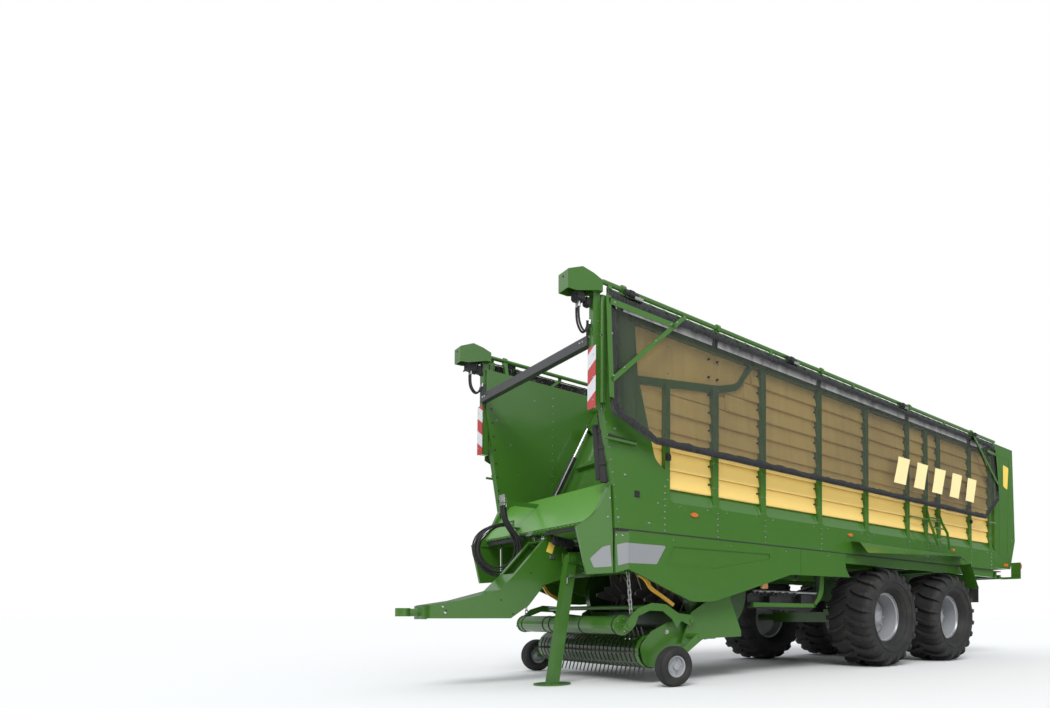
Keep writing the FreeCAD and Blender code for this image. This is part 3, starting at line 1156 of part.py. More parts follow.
def pickup_reel():
    """Tined reel: combs of tines on a round core."""
    half = PICKUP_HALF - 20.0
    core = turned([(-half, REEL_CORE_R), (half, REEL_CORE_R), (half, REEL_BORE_R), (-half, REEL_BORE_R)], 12)
    comb_parts = [core]
    pitch = 2 * (PICKUP_HALF - 30.0) / TINE_COUNT
    for row in range(REEL_ROWS):
        outline = [(-half, REEL_CORE_R * 0.8), (-half, REEL_BAR_R)]
        for k in range(TINE_COUNT):
            x = -PICKUP_HALF + 30.0 + (k + 0.5) * pitch
            outline += [(x - TINE_T / 2, REEL_BAR_R), (x - TINE_T / 2, REEL_TIP_R),
                        (x + TINE_T / 2, REEL_TIP_R), (x + TINE_T / 2, REEL_BAR_R)]
        outline += [(half, REEL_BAR_R), (half, REEL_CORE_R * 0.8)]
        comb = long_cut(outline, -TINE_W / 2, TINE_W / 2)
        comb.rotate(V(0, 0, 0), ACROSS, 20.0 + 360.0 * row / REEL_ROWS)
        comb_parts.append(comb)
    whole = fused(comb_parts)
    whole.translate(V(0, REEL_Y, REEL_Z))
    return whole


def roller_arms():
    """Arms that reach over the reel to the press roller, joined by a cross tube."""
    parts = []
    py, pz = ROLLER_PIVOT
    outline = [(ROLLER_Y - 60.0, ROLLER_Z - 30.0), (ROLLER_Y + 20.0, ROLLER_Z - 60.0),
               (ROLLER_Y + 80.0, ROLLER_Z), (560.0, 690.0), (700.0, 745.0), (860.0, 740.0), (980.0, 660.0),
               (1040.0, 560.0), (1100.0, 640.0), (py - 20.0, pz - 50.0), (py + 50.0, pz),
               (py + 20.0, pz + 60.0), (1063.0, 720.0), (900.0, 812.0), (725.0, 822.0), (560.0, 770.0),
               (470.0, 690.0)]
    for side in (-1, 1):
        a, b = side * ROLLER_ARM_X, side * (ROLLER_ARM_X + ROLLER_ARM_T)
        arm = side_cut(outline, min(a, b), max(a, b))
        hole = cross_rod(min(a, b) - 1, max(a, b) + 1, py, pz, 22.0 + PIN_GAP)
        a, b = side * (ROLLER_HALF - 60.0), side * (ROLLER_ARM_X + ROLLER_ARM_T + 16.0)
        stub = cross_rod(min(a, b), max(a, b), ROLLER_Y, ROLLER_Z, 20.0)
        parts += [arm.cut(hole), stub]
        a, b = side * (CHAIN_X - 22.0), side * (ROLLER_ARM_X + 2)
        parts.append(cross_rod(min(a, b), max(a, b), CHAIN_LOW[0], CHAIN_LOW[1], CHAIN_PIN_R))
    parts.append(cross_rod(-ROLLER_ARM_X - 1, ROLLER_ARM_X + 1, 800.0, 782.0, 24.0))
    return fused(parts)


def roller_pins():
    """Pivot pins of the roller arms on the lifting arms."""
    py, pz = ROLLER_PIVOT
    return [cross_rod(PICKUP_ARM_X + PICKUP_ARM_T - 2.0, ROLLER_ARM_X + ROLLER_ARM_T + 10.0, py, pz, 22.0)]


def press_roller():
    """Press roller with raised end discs and bands."""
    e, r = ROLLER_HALF - 4.0, ROLLER_R
    outline = [(-e, r + 10.0), (-e + 16.0, r + 10.0), (-e + 16.0, r), (-8.0, r), (-8.0, r + 8.0),
               (8.0, r + 8.0), (8.0, r), (e - 16.0, r), (e - 16.0, r + 10.0), (e, r + 10.0),
               (e, 20.0 + PIN_GAP), (-e, 20.0 + PIN_GAP)]
    whole = turned(outline, 16)
    whole.translate(V(0, ROLLER_Y, ROLLER_Z))
    return whole


def roller_chains():
    """Holding chains of the press roller, hooked over a pin at each end, links turned in turn."""
    start, end = CHAIN_TOP, CHAIN_LOW
    wire = CHAIN_WIRE
    seat = CHAIN_PIN_R + RUN_GAP
    pitch = (math.dist(start, end) + 2 * seat) / CHAIN_LINKS
    link_long = pitch + 2 * wire + RUN_GAP
    half = CHAIN_LINK_W / 2
    links = []
    for k in range(CHAIN_LINKS):
        ring = block(-wire / 2, wire / 2, -half, half, 0, link_long)
        ring = ring.cut(block(-wire, wire, -half + wire, half - wire, wire, link_long - wire))
        if k % 2:
            ring.rotate(V(0, 0, 0), UP, 90)
        ring.translate(V(0, 0, seat + wire - link_long - k * pitch))
        links.append(ring)
    chain = Part.makeCompound(links)
    lean = math.degrees(math.atan2(end[0] - start[0], start[1] - end[1]))
    chain.rotate(V(0, 0, 0), ACROSS, lean)
    chain.translate(V(CHAIN_X, start[0], start[1]))
    return pair(chain)


# ================================================================ drawbar, leg
def drawbar():
    """Swan-necked drawbar: two cheek plates, top and bottom webs, hub and nose plate."""
    y, z, lug = DRAWBAR_PIVOT_Y, DRAWBAR_PIVOT_Z, DRAWBAR_LUG_R
    upper = list(DRAWBAR_TOP_LINE) + [(y - 60.0, z + lug)]
    nose = [(y, z + lug), (y + 75.0, z + 20.0), (y + 75.0, z - 20.0), (y, z - lug)]
    lower = [(y - 40.0, z - lug)] + list(reversed(DRAWBAR_LOW_LINE))
    web = DRAWBAR_X - DRAWBAR_T
    parts = pair(side_cut(upper + nose + lower, web, DRAWBAR_X))
    parts.append(side_cut(strip_beside(DRAWBAR_LOW_LINE, DRAWBAR_T), -web - 1, web + 1))
    over = side_cut(strip_beside(DRAWBAR_TOP_LINE[:DRAWBAR_WEB_POINTS], -DRAWBAR_T), -web - 1, web + 1)
    inside = web - DRAWBAR_FLANGE
    parts.append(over.cut(side_cut(ribbon(DRAWBAR_OPENING, 2 * DRAWBAR_T), -inside, inside)))
    parts.append(block(-DRAWBAR_X, DRAWBAR_X, DRAWBAR_NOSE_Y, DRAWBAR_NOSE_Y + 20.0, DRAWBAR_LOW_Z,
                       DRAWBAR_NOSE_TOP_Z))
    parts.append(cross_rod(-web - 1, web + 1, DRAWBAR_PIVOT_Y, DRAWBAR_PIVOT_Z, DRAWBAR_LUG_R - 6.0))
    whole = fused(parts)
    whole = whole.cut(cross_rod(-DRAWBAR_X - 1, DRAWBAR_X + 1, DRAWBAR_PIVOT_Y, DRAWBAR_PIVOT_Z,
                                DRAWBAR_PIN_R + PIN_GAP))
    pin = cross_rod(-DRAWBAR_X - 8.0, DRAWBAR_X + 8.0, DRAWBAR_HEAD[0], DRAWBAR_HEAD[1],
                    DRAWBAR_ROD_R * PIN_SHARE)
    return fused([whole, pin])


def hitch_coupling():
    """Bolted ball coupling: flange, shank and a cup open downwards."""
    flange = block(-110.0, 110.0, DRAWBAR_NOSE_Y - HITCH_FLANGE_T, DRAWBAR_NOSE_Y, HITCH_Z - 62.0,
                   HITCH_Z + 62.0)
    cup_y = HITCH_TIP_Y + HITCH_CUP_R
    shank = rod((0, DRAWBAR_NOSE_Y - HITCH_FLANGE_T, HITCH_Z), (0, cup_y, HITCH_Z), HITCH_SHANK_R)
    cup = Part.makeCylinder(HITCH_CUP_R, 76.0, V(0, cup_y, HITCH_Z - 36.0))
    ball = Part.makeSphere(HITCH_BALL_R + 0.5, V(0, cup_y, HITCH_Z - 14.0))
    way_in = Part.makeCylinder(HITCH_BALL_R + 0.5, 40.0, V(0, cup_y, HITCH_Z - 14.0 - 40.0))
    return fused([flange, shank, cup]).cut(ball).cut(way_in)


def leg_lines():
    """Foot and top of the support leg, as (y, z)."""
    return (LEG_FOOT_Y, LEG_FOOT_T), (LEG_TOP_Y, LEG_TOP_Z)


def support_leg():
    """Square tube with a pin eye on top and a round foot."""
    foot, top = leg_lines()
    half = LEG_TUBE / 2
    lean = math.atan2(top[0] - foot[0], top[1] - foot[1])
    dy = half / math.cos(lean)
    tube = side_cut([(foot[0] - dy, foot[1]), (foot[0] + dy, foot[1]), (top[0] + dy, top[1]),
                     (top[0] - dy, top[1])], LEG_X - half, LEG_X + half)
    head = cross_rod(LEG_X - half, LEG_X + half, top[0], top[1], half)
    hole = cross_rod(LEG_X - half - 1, LEG_X + half + 1, top[0], top[1], LEG_PIN_R + PIN_GAP)
    disc = Part.makeCylinder(LEG_FOOT_R, LEG_FOOT_T, V(LEG_X, foot[0], 0))
    return fused([tube, head, disc]).cut(hole)


def chain_hooks():
    """Arms on the front frame that the roller chains hang from."""
    y, z = CHAIN_TOP
    arm = side_cut([(y - 14.0, z - 4.0), (y + 14.0, z - 14.0), (FRONT_BEAM_Y - 70.0, FRONT_BEAM_Z - 75.0),
                    (FRONT_BEAM_Y - 70.0, FRONT_BEAM_Z + 20.0), (y - 14.0, z + 24.0)], CHEEK_X - CHEEK_T,
                   CHEEK_X)
    pin = cross_rod(CHEEK_X - 2, CHAIN_X + 22.0, y, z, CHAIN_PIN_R)
    hook = fused([arm, pin])
    return pair(hook)


def leg_bracket():
    """Fork on the frame that holds the support leg."""
    half = LEG_TUBE / 2
    parts = []
    for a in (LEG_X - half - SWING_GAP / 2 - 16.0, LEG_X + half + SWING_GAP / 2):
        parts.append(side_cut([(LEG_TOP_Y - 60.0, LEG_TOP_Z - 50.0), (LEG_TOP_Y + 60.0, LEG_TOP_Z - 60.0),
                               (FRONT_BEAM_Y - 70.0, FRONT_BEAM_Z - 75.0),
                               (FRONT_BEAM_Y - 70.0, FRONT_BEAM_Z + 75.0),
                               (LEG_TOP_Y + 60.0, LEG_TOP_Z + 60.0), (LEG_TOP_Y - 60.0, LEG_TOP_Z + 50.0)],
                              a, a + 16.0))
    parts.append(cross_rod(LEG_X - half - SWING_GAP / 2 - 20.0, LEG_X + half + SWING_GAP / 2 + 20.0,
                           LEG_TOP_Y, LEG_TOP_Z, LEG_PIN_R))
    return parts


# ================================================================ front wall
def wall_point(along, off):
    """Point (y, z) on the front wall: along its slope and off its front face."""
    lean = math.radians(WALL_LEAN)
    return (WALL_PIVOT_Y + along * math.sin(lean) - off * math.cos(lean),
            WALL_PIVOT_Z + along * math.cos(lean) + off * math.sin(lean))


def front_wall():
    """Swinging front wall: sheet with cross ribs behind and eyes for its cylinders."""
    half = WALL_IN_X - WALL_SIDE_GAP
    t = WALL_SHEET_T
    parts = [side_cut([wall_point(0, 0), wall_point(WALL_LONG, 0), wall_point(WALL_LONG, -t),
                       wall_point(0, -t)], -half, half)]
    parts.append(cross_rod(-half, half, WALL_PIVOT_Y, WALL_PIVOT_Z, WALL_PIN_R * 1.6))
    for along, reach in ((WALL_LONG - WALL_RIB_W, half), (WALL_LONG * 0.5, WALL_CYL_X - 60.0)):
        high = along + WALL_RIB_W
        parts.append(side_cut([wall_point(along, 0), wall_point(high, 0), wall_point(high, WALL_RIB_H),
                               wall_point(along, WALL_RIB_H)], -reach, reach))
    whole = fused(parts)
    head_y, head_z = WALL_CYL_HEAD
    lugs = []
    for x in (-WALL_CYL_X, WALL_CYL_X):
        for side in (-1, 1):
            a, b = x + side * 32.0, x + side * 44.0
            lugs.append(side_cut([(head_y - 28.0, head_z - 30.0), (head_y - 28.0, head_z + 26.0),
                                  wall_point(1770.0, -1), wall_point(1600.0, -1)], min(a, b), max(a, b)))
        lugs.append(cross_rod(x - 50.0, x + 50.0, head_y, head_z, WALL_ROD_R * PIN_SHARE))
    stubs = []
    for side in (-1, 1):
        a, b = side * (half - 60.0), side * (WALL_IN_X + WALL_PIN_DEEP)
        stubs.append(cross_rod(min(a, b), max(a, b), WALL_PIVOT_Y, WALL_PIVOT_Z, WALL_PIN_R))
    return fused([whole] + lugs + stubs)


def wall_cylinder_feet():
    """Brackets on the frame for the feet of the front wall's cylinders."""
    foot_y, foot_z = WALL_CYL_FOOT
    parts = []
    for x in (-WALL_CYL_X, WALL_CYL_X):
        for side in (-1, 1):
            a, b = x + side * 40.0, x + side * 52.0
            parts.append(side_cut([(foot_y - 36.0, foot_z + 30.0), (foot_y + 30.0, foot_z + 30.0),
                                   (FRONT_BEAM_Y - 66.0, FRONT_BEAM_Z + 75.0),
                                   (FRONT_BEAM_Y - 75.0, FRONT_BEAM_Z), (foot_y - 60.0, FRONT_BEAM_Z + 40.0),
                                   (foot_y - 60.0, foot_z - 40.0)], min(a, b), max(a, b)))
        parts.append(cross_rod(x - 56.0, x + 56.0, foot_y, foot_z, WALL_ROD_R * PIN_SHARE))
    return parts


# ================================================================ tailgate
def tailgate():
    """Deep tailgate: two side wings, rear panel with ribs, hinge pins at the top."""
    y0 = GATE_SEAM_Y + SEAM_GAP
    wing = [(y0, GATE_LOW_Z), (GATE_LOW_REAR_Y, GATE_LOW_Z), (REAR_Y, GATE_WIDE_Z),
            (GATE_TOP_REAR_Y, GATE_TOP_Z), (y0 + 30.0, GATE_TOP_Z), (y0, GATE_TOP_Z - 80.0)]
    parts = []
    for side in (-1, 1):
        a, b = side * WALL_OUT_X, side * (WALL_OUT_X - GATE_WING_T)
        parts.append(side_cut(wing, min(a, b), max(a, b)))
    t = GATE_PANEL_T
    panel = [(GATE_LOW_REAR_Y - t, GATE_LOW_Z), (GATE_LOW_REAR_Y, GATE_LOW_Z), (REAR_Y, GATE_WIDE_Z),
             (GATE_TOP_REAR_Y, GATE_TOP_Z), (GATE_TOP_REAR_Y - t, GATE_TOP_Z), (REAR_Y - t, GATE_WIDE_Z)]
    parts.append(side_cut(panel, -WALL_OUT_X + GATE_WING_T, WALL_OUT_X - GATE_WING_T))
    parts.append(block(-WALL_OUT_X, WALL_OUT_X, GATE_HINGE_Y + 62.0, GATE_HINGE_Y + 142.0, GATE_TOP_Z - 60.0,
                       GATE_TOP_Z))
    whole = fused(parts)
    for side in (-1, 1):
        a, b = side * (WALL_OUT_X - GATE_WING_T - 1), side * (WALL_OUT_X - 3.5)
        whole = whole.cut(cross_rod(min(a, b), max(a, b), GATE_HINGE_Y, GATE_HINGE_Z, GATE_PIN_R + PIN_GAP))
    return whole


# ================================================================ net covers
def leaned(shape):
    """Lean a cover piece outwards about the lacing rail, as the net hangs."""
    lean = math.degrees(math.atan2(NET_HEM_X - LACE_X, LACE_Z - NET_HEM_Z))
    copy = shape.copy()
    copy.rotate(V(LACE_X, 0, LACE_Z), ALONG, -lean)
    return copy


def cover_frame():
    """Left cover frame: swing tube, lacing rail, arms and braces that carry the net."""
    tube = Part.makeCylinder(COVER_TUBE_R, COVER_REAR_Y - COVER_FRONT_Y, V(COVER_X, COVER_FRONT_Y, COVER_Z),
                             ALONG)
    lace = Part.makeCylinder(LACE_R, NET_REAR_Y - NET_FRONT_Y, V(LACE_X, NET_FRONT_Y, LACE_Z), ALONG)
    parts = [tube, lace]
    outer = LACE_X - NET_T / 2 - RUN_GAP
    inner = outer - ARM_T
    flats = []
    for y, low in ((NET_FRONT_Y, 2560.0), (NET_REAR_Y - ARM_W, 2740.0)):
        flats.append(block(inner, outer, y, y + ARM_W, low, LACE_Z + 10.0))
    for low, high in (((130.0, 2894.0), (1010.0, LACE_Z + 10.0)),
                      ((8020.0, 2850.0), (7230.0 + 60.0, LACE_Z + 10.0))):
        (ly, lz), (hy, hz) = low, high
        flats.append(side_cut([(ly - 24.0, lz), (ly + 24.0, lz), (hy + 24.0, hz), (hy - 24.0, hz)], inner,
                              outer))
    parts += [leaned(flat) for flat in flats]
    for y in CLAMP_YS:
        parts.append(long_cut([(COVER_X - 14.0, COVER_Z), (COVER_X + 14.0, COVER_Z),
                               (LACE_X + LACE_R, LACE_Z), (LACE_X - 12.0, LACE_Z)], y - 20.0, y + 20.0))
    return fused(parts)


def net():
    """Left net, a taut sheet with its lower corners cut off."""
    front_y, front_z = NET_FRONT_CUT
    rear_y, rear_z = NET_REAR_CUT
    drop = math.hypot(NET_HEM_X - LACE_X, LACE_Z - NET_HEM_Z)
    top, low = LACE_Z - LACE_R - RUN_GAP, LACE_Z - drop
    outline = [(NET_FRONT_Y, top), (NET_FRONT_Y, low + front_z), (NET_FRONT_Y + front_y, low),
               (NET_REAR_Y - rear_y, low), (NET_REAR_Y, low + rear_z), (NET_REAR_Y, top)]
    return leaned(side_cut(outline, LACE_X - NET_T / 2, LACE_X + NET_T / 2))


def swing_motor():
    """Chamfered hood over the left cover tube's drive, open below, on top of the front post."""
    x0, x1 = MOTOR_X - MOTOR_W / 2, MOTOR_X + MOTOR_W / 2
    box = side_cut(MOTOR_OUTLINE, x0, x1)
    room = side_cut(MOTOR_ROOM, x0 + MOTOR_T, x1 - MOTOR_T)
    drive = cross_rod(MOTOR_X - 30.0, MOTOR_X + 30.0, MOTOR_DRIVE[0], MOTOR_DRIVE[1], MOTOR_DRIVE[2])
    neck = block(MOTOR_X - 20.0, MOTOR_X + 20.0, MOTOR_DRIVE[0], MOTOR_REAR_Y - 20.0,
                 MOTOR_DRIVE[1] - 20.0, MOTOR_DRIVE[1] + 20.0)
    return fused([box.cut(room), drive, neck])


# ================================================================ hoses
def hood_y(z):
    """Where the hood's outer face is at a height, less a seat gap."""
    (top_y, top_z), (low_y, low_z) = HOOD_TOP, HOOD_LOW
    share = (z - low_z) / (top_z - low_z)
    return low_y + (top_y - low_y) * share - 2 * RUN_GAP


def hose_points(number):
    """Corner points of one hose, from its coupling down, round the slack loop and back to the bulkhead."""
    start = HOSE_X - number * HOSE_PITCH
    steps = len(HOSE_ROUTE) - 3
    points = []
    for i, (y, z) in enumerate(HOSE_ROUTE):
        share = min(max(i - 1, 0), steps) / steps
        points.append(V(start - HOSE_DRIFT * share, y, z))
    return points


def hose(number):
    """One hose: straight runs joined by tangent arcs."""
    points = hose_points(number)
    edges = []
    here = points[0]
    radii = []
    for before, corner, after in zip(points, points[1:], points[2:]):
        back = before - corner
        ahead = after - corner
        shorter = min(back.Length, ahead.Length)
        back.normalize()
        ahead.normalize()
        half_turn = (math.pi - back.getAngle(ahead)) / 2
        reach = shorter * 0.45
        radius = reach / math.tan(half_turn)
        radii.append(round(radius))
        belly = radius / math.cos(half_turn) - radius
        enter = corner + back * reach
        leave = corner + ahead * reach
        edges.append(Part.LineSegment(here, enter).toShape())
        edges.append(Part.Arc(enter, corner + (back + ahead).normalize() * belly, leave).toShape())
        here = leave
    edges.append(Part.LineSegment(here, points[-1]).toShape())
    path = Part.Wire(edges)
    ring = Part.Wire([Part.makeCircle(HOSE_D / 2, points[0], points[1] - points[0])])
    print("hose", number + 1, "length", round(path.Length), "radii", radii)
    return path.makePipeShell([ring], True, False)


def hose_holder():
    """Rack on the hood: upper plate for the couplings, bulkhead for the hose ends, a fin for each."""
    left, right = HOLDER_X
    top_y, top_z = HOSE_ROUTE[0][0], HOLDER_TOP_Z
    plate = block(left, right, top_y - 30.0, top_y + 30.0, top_z, top_z + HOLDER_T)
    fin = side_cut([(top_y - 30.0, top_z), (hood_y(top_z), top_z), (hood_y(top_z + 50.0), top_z + 50.0),
                    (top_y - 30.0, top_z + 50.0)], left, left + HOLDER_T)
    end_z = HOSE_ROUTE[-1][1]
    bulk_left, bulk_right = left - HOSE_DRIFT, right - HOSE_DRIFT
    wall = block(bulk_left, bulk_right, BULKHEAD_Y, BULKHEAD_Y + HOLDER_T, end_z - 40.0, end_z + 40.0)
    shelf_z = end_z - 40.0
    shelf = side_cut([(BULKHEAD_Y, shelf_z), (hood_y(shelf_z), shelf_z),
                      (hood_y(shelf_z + HOLDER_T), shelf_z + HOLDER_T), (BULKHEAD_Y, shelf_z + HOLDER_T)],
                     bulk_left, bulk_right)
    rack, bulkhead = fused([plate, fin]), fused([wall, shelf])
    for number in range(HOSE_COUNT):
        points = hose_points(number)
        hole = Part.makeCylinder(COUPLING_R + RUN_GAP, 60.0, V(points[0].x, top_y, top_z - 20.0))
        rack = rack.cut(hole)
        hole = Part.makeCylinder(COUPLING_R + RUN_GAP, 60.0, V(points[-1].x, BULKHEAD_Y - 20.0, end_z), ALONG)
        bulkhead = bulkhead.cut(hole)
    return [rack, bulkhead]


def hose_couplings():
    """Push-in couplings on the rack and the fittings in the bulkhead, one of each for every hose."""
    parts = []
    for number in range(HOSE_COUNT):
        points = hose_points(number)
        first, last = points[0], points[-1]
        low = first.z + RUN_GAP
        body = Part.makeCylinder(COUPLING_R, COUPLING_LONG, V(first.x, first.y, low))
        collar = Part.makeCylinder(COUPLING_R + 3.0, 20.0, V(first.x, first.y, low + 60.0))
        parts.append(body.fuse(collar))
        start = last.y + RUN_GAP
        parts.append(Part.makeCylinder(COUPLING_R, BULKHEAD_Y + HOLDER_T - start, V(last.x, start, last.z),
                                       ALONG))
    return parts


# ================================================================ build
def build():
    """Write every sub-part."""
    frame = fused([side_frame(), swing_motor()] + pegs())
    save("side_frame_left", frame)
    save("side_frame_right", mirrored(frame))
    save("ladder", ladder())
    save("warning_boards", pair(warning_board()))
    save("side_lamps", side_lamps())
    save("rear_lamps", pair(rear_lamp()))
    save("side_gear", side_gear())
    save("hose_holder", hose_holder())
    save("hose_couplings", hose_couplings())
    for number in range(HOSE_COUNT):
        save("hose_" + str(number + 1), hose(number))
    save("wall_boards", wall_boards())
    save("front_crossbar", front_crossbar())
    save("floor_plate", floor_plate())
    save("scraper_floor", scraper_floor())
    save("chassis", chassis())
    save("front_frame", fused([front_frame()] + leg_bracket() + wall_cylinder_feet() + chain_hooks()))
    save("feed_deck", feed_deck())
    save("feed_channel", feed_channel())
    save("knife_bank", knife_bank())
    save("feed_rotor", feed_rotor())
    save("hood", hood())
    save("skirts", skirt() + [mirrored(s) for s in skirt()])
    save("fenders", pair(fender()))
    save("mudflaps", pair(mudflap()))
    save("tailgate", tailgate())
    save("bogie", bogie())
    save("knuckle_left", knuckle())
    save("knuckle_right", mirrored(knuckle()))
    save("tie_rod", tie_rod())
    big_tyre, big_rim = tyre(), rim()
    for name, side, y in (("front_left", 1, AXLE_FRONT_Y), ("front_right", -1, AXLE_FRONT_Y),
                          ("rear_left", 1, AXLE_REAR_Y), ("rear_right", -1, AXLE_REAR_Y)):
        save("tyre_" + name, wheel_at(big_tyre, side, y))
        save("rim_" + name, wheel_at(big_rim, side, y))
    for name, side in (("left", 1), ("right", -1)):
        for kind, shape in (("gauge_tyre_", gauge_tyre()), ("gauge_rim_", gauge_rim())):
            save(kind + name, shape if side > 0 else mirrored(shape))
        save("cover_frame_" + name, cover_frame() if side > 0 else mirrored(cover_frame()))
        save("net_" + name, net() if side > 0 else mirrored(net()))
    pins = roller_pins()
    save("pickup_frame", fused([pickup_frame()] + pins + [mirrored(p) for p in pins]))
    save("pickup_reel", pickup_reel())
    save("roller_arms", roller_arms())
    save("press_roller", press_roller())
    save("roller_chains", roller_chains())
    save("drawbar", drawbar())
    save("hitch_coupling", hitch_coupling())
    save("support_leg", support_leg())
    save("front_wall", front_wall())
    for name, x, foot, head, barrel_r, long, rod_r, deep, room in (
            ("drawbar", DRAWBAR_CYL_X, DRAWBAR_FOOT, DRAWBAR_HEAD, DRAWBAR_BARREL_R, DRAWBAR_BARREL_LONG,
             DRAWBAR_ROD_R, DRAWBAR_ROD_IN, DRAWBAR_EYE_ROOM),
            ("wall", WALL_CYL_X, WALL_CYL_FOOT, WALL_CYL_HEAD, WALL_BARREL_R, WALL_BARREL_LONG,
             WALL_ROD_R, WALL_ROD_IN, WALL_EYE_ROOM)):
        save(name + "_barrels", [cylinder_barrel(side * x, foot, head, barrel_r, rod_r,
                                                 long) for side in (-1, 1)])
        save(name + "_rods", [cylinder_rod(side * x, foot, head, rod_r, deep, room) for side in (-1, 1)])


os.makedirs("parts", exist_ok=True)
build()
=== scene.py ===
"""Dresses a loader wagon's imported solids: paint, rubber, nets, hoses, bolts, lamps and a plain studio."""

import math
import random

import bmesh
import bpy
from mathutils import Matrix, Vector


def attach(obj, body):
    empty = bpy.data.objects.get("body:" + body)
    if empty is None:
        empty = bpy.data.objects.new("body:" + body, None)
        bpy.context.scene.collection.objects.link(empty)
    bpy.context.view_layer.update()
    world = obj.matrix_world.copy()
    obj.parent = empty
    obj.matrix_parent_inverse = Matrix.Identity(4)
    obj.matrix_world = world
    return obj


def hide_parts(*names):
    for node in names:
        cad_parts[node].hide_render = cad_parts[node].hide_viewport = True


bl_info = {
    "name": "Loader Wagon",
    "version": (1, 0, 0),
    "blender": (4, 5, 0),
    "location": "View3D > Sidebar > Wagon",
    "description": "Builds the looks of a towed loader wagon on its packed solids",
    "category": "Object",
}

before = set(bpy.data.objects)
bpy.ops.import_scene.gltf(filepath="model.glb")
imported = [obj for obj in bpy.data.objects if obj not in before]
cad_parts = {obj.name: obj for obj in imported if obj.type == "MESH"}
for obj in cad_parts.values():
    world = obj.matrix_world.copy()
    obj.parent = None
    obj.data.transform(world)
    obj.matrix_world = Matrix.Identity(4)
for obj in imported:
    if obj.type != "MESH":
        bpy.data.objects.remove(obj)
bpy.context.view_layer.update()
POST_Y = -3.826                 # the front posts, from which lengths along the wagon are measured
WALL_X = 1.25                   # outer face of the wall posts
RIBS_Y = (0.827, 1.476, 2.213, 3.235, 4.243, 5.286, 5.805, 6.188, 7.213, 7.951)     # ribs of the side walls
SIDES = ((1, "left"), (-1, "right"))
TURN = 2 * math.pi


# ------------------------------------------------------------------ settings


class WagonPaint(bpy.types.PropertyGroup):
    """Colours of the wagon."""

    body: bpy.props.FloatVectorProperty(name="Body green", description="Paint of walls, frame and drawbar",
                                        default=(0.040, 0.135, 0.012), size=3, subtype="COLOR", min=0, max=1)
    hood: bpy.props.FloatVectorProperty(name="Hood green", description="Lighter green of the hood",
                                        default=(0.085, 0.255, 0.030), size=3, subtype="COLOR", min=0, max=1)
    boards: bpy.props.FloatVectorProperty(name="Board yellow", description="Stepped boards of the load space",
                                          default=(0.85, 0.60, 0.17), size=3, subtype="COLOR", min=0, max=1)
    net: bpy.props.FloatVectorProperty(name="Net black", description="Threads of the side nets",
                                       default=(0.040, 0.037, 0.036), size=3, subtype="COLOR", min=0, max=1)
    rim: bpy.props.FloatVectorProperty(name="Rim silver", description="Paint of the wheel rims",
                                       default=(0.30, 0.31, 0.325), size=3, subtype="COLOR", min=0, max=1)


class WagonSizes(bpy.types.PropertyGroup):
    """Sizes of the dressed pieces."""

    bolt_r: bpy.props.FloatProperty(name="Bolt radius",
                                    description="Radius of the round bolt heads on the walls", default=0.009,
                                    unit="LENGTH", min=0.002, max=0.03)
    net_open: bpy.props.FloatProperty(name="Net opening", description="Share of the net that is open",
                                      default=0.46, subtype="FACTOR", min=0, max=1)
    mesh_pitch: bpy.props.FloatProperty(name="Mesh pitch",
                                        description="Distance between the threads of the nets",
                                        default=0.012, unit="LENGTH", min=0.002, max=0.1)


class WagonStudio(bpy.types.PropertyGroup):
    """Floor, light and camera."""

    floor: bpy.props.FloatVectorProperty(name="Floor", description="Colour of the studio floor",
                                         default=(0.80, 0.80, 0.80), size=3, subtype="COLOR", min=0, max=1)
    floor_half: bpy.props.FloatProperty(name="Floor half width",
                                        description="Half the width of the studio floor", default=260.0,
                                        unit="LENGTH", min=20)
    air: bpy.props.FloatProperty(name="Air", description="Strength of the light from all round",
                                 default=0.36, min=0, max=3)
    key_power: bpy.props.FloatProperty(name="Key light",
                                       description="Strength of the broad light from the front", default=2.1,
                                       min=0)
    lens: bpy.props.FloatProperty(name="Lens", description="Focal length of the camera in millimetres",
                                  default=22.887, min=10, max=200)


def paint():
    return bpy.context.scene.wagon_paint


def sizes():
    return bpy.context.scene.wagon_sizes


def studio():
    return bpy.context.scene.wagon_studio


# ------------------------------------------------------------------ places and meshes


def at(x, y, z):
    """A point from metres across, metres behind the front posts and metres above the ground."""
    return Vector((x, y + POST_Y, z))


def round_about(centre, side, out, radius, turn):
    """A point beside a wheel's axle: out along the axle, and round it at a radius."""
    return Vector(centre) + Vector((side * out, radius * math.cos(turn), radius * math.sin(turn)))


def add_box(bm, low, high, bevel=0.0):
    """Adds a box between two corners, with its edges eased."""
    made = bmesh.ops.create_cube(bm, size=1.0)["verts"]
    for vert in made:
        vert.co = Vector((low[i] + (vert.co[i] + 0.5) * (high[i] - low[i]) for i in range(3)))
    if bevel:
        edges = list({edge for vert in made for edge in vert.link_edges})
        bmesh.ops.bevel(bm, geom=edges, offset=bevel, segments=2, affect="EDGES")


def add_round(bm, start, end, radius, sides=12, radius_end=None):
    """Adds a closed round bar or cone between two points."""
    turn = (end - start).to_track_quat("Z", "Y").to_matrix().to_4x4()
    bmesh.ops.create_cone(bm, cap_ends=True, segments=sides, radius1=radius,
                          radius2=radius if radius_end is None else radius_end,
                          depth=(end - start).length, matrix=Matrix.Translation((start + end) / 2) @ turn)


def add_skin(bm, rows, closed=True, caps=True):
    """Adds faces between successive rows of corners; a closed row goes all the way round."""
    for a, b in zip(rows, rows[1:]):
        for k in range(len(a) if closed else len(a) - 1):
            n = (k + 1) % len(a)
            bm.faces.new((a[k], a[n], b[n], b[k]))
    if caps:
        bm.faces.new(rows[0])
        bm.faces.new(rows[-1])


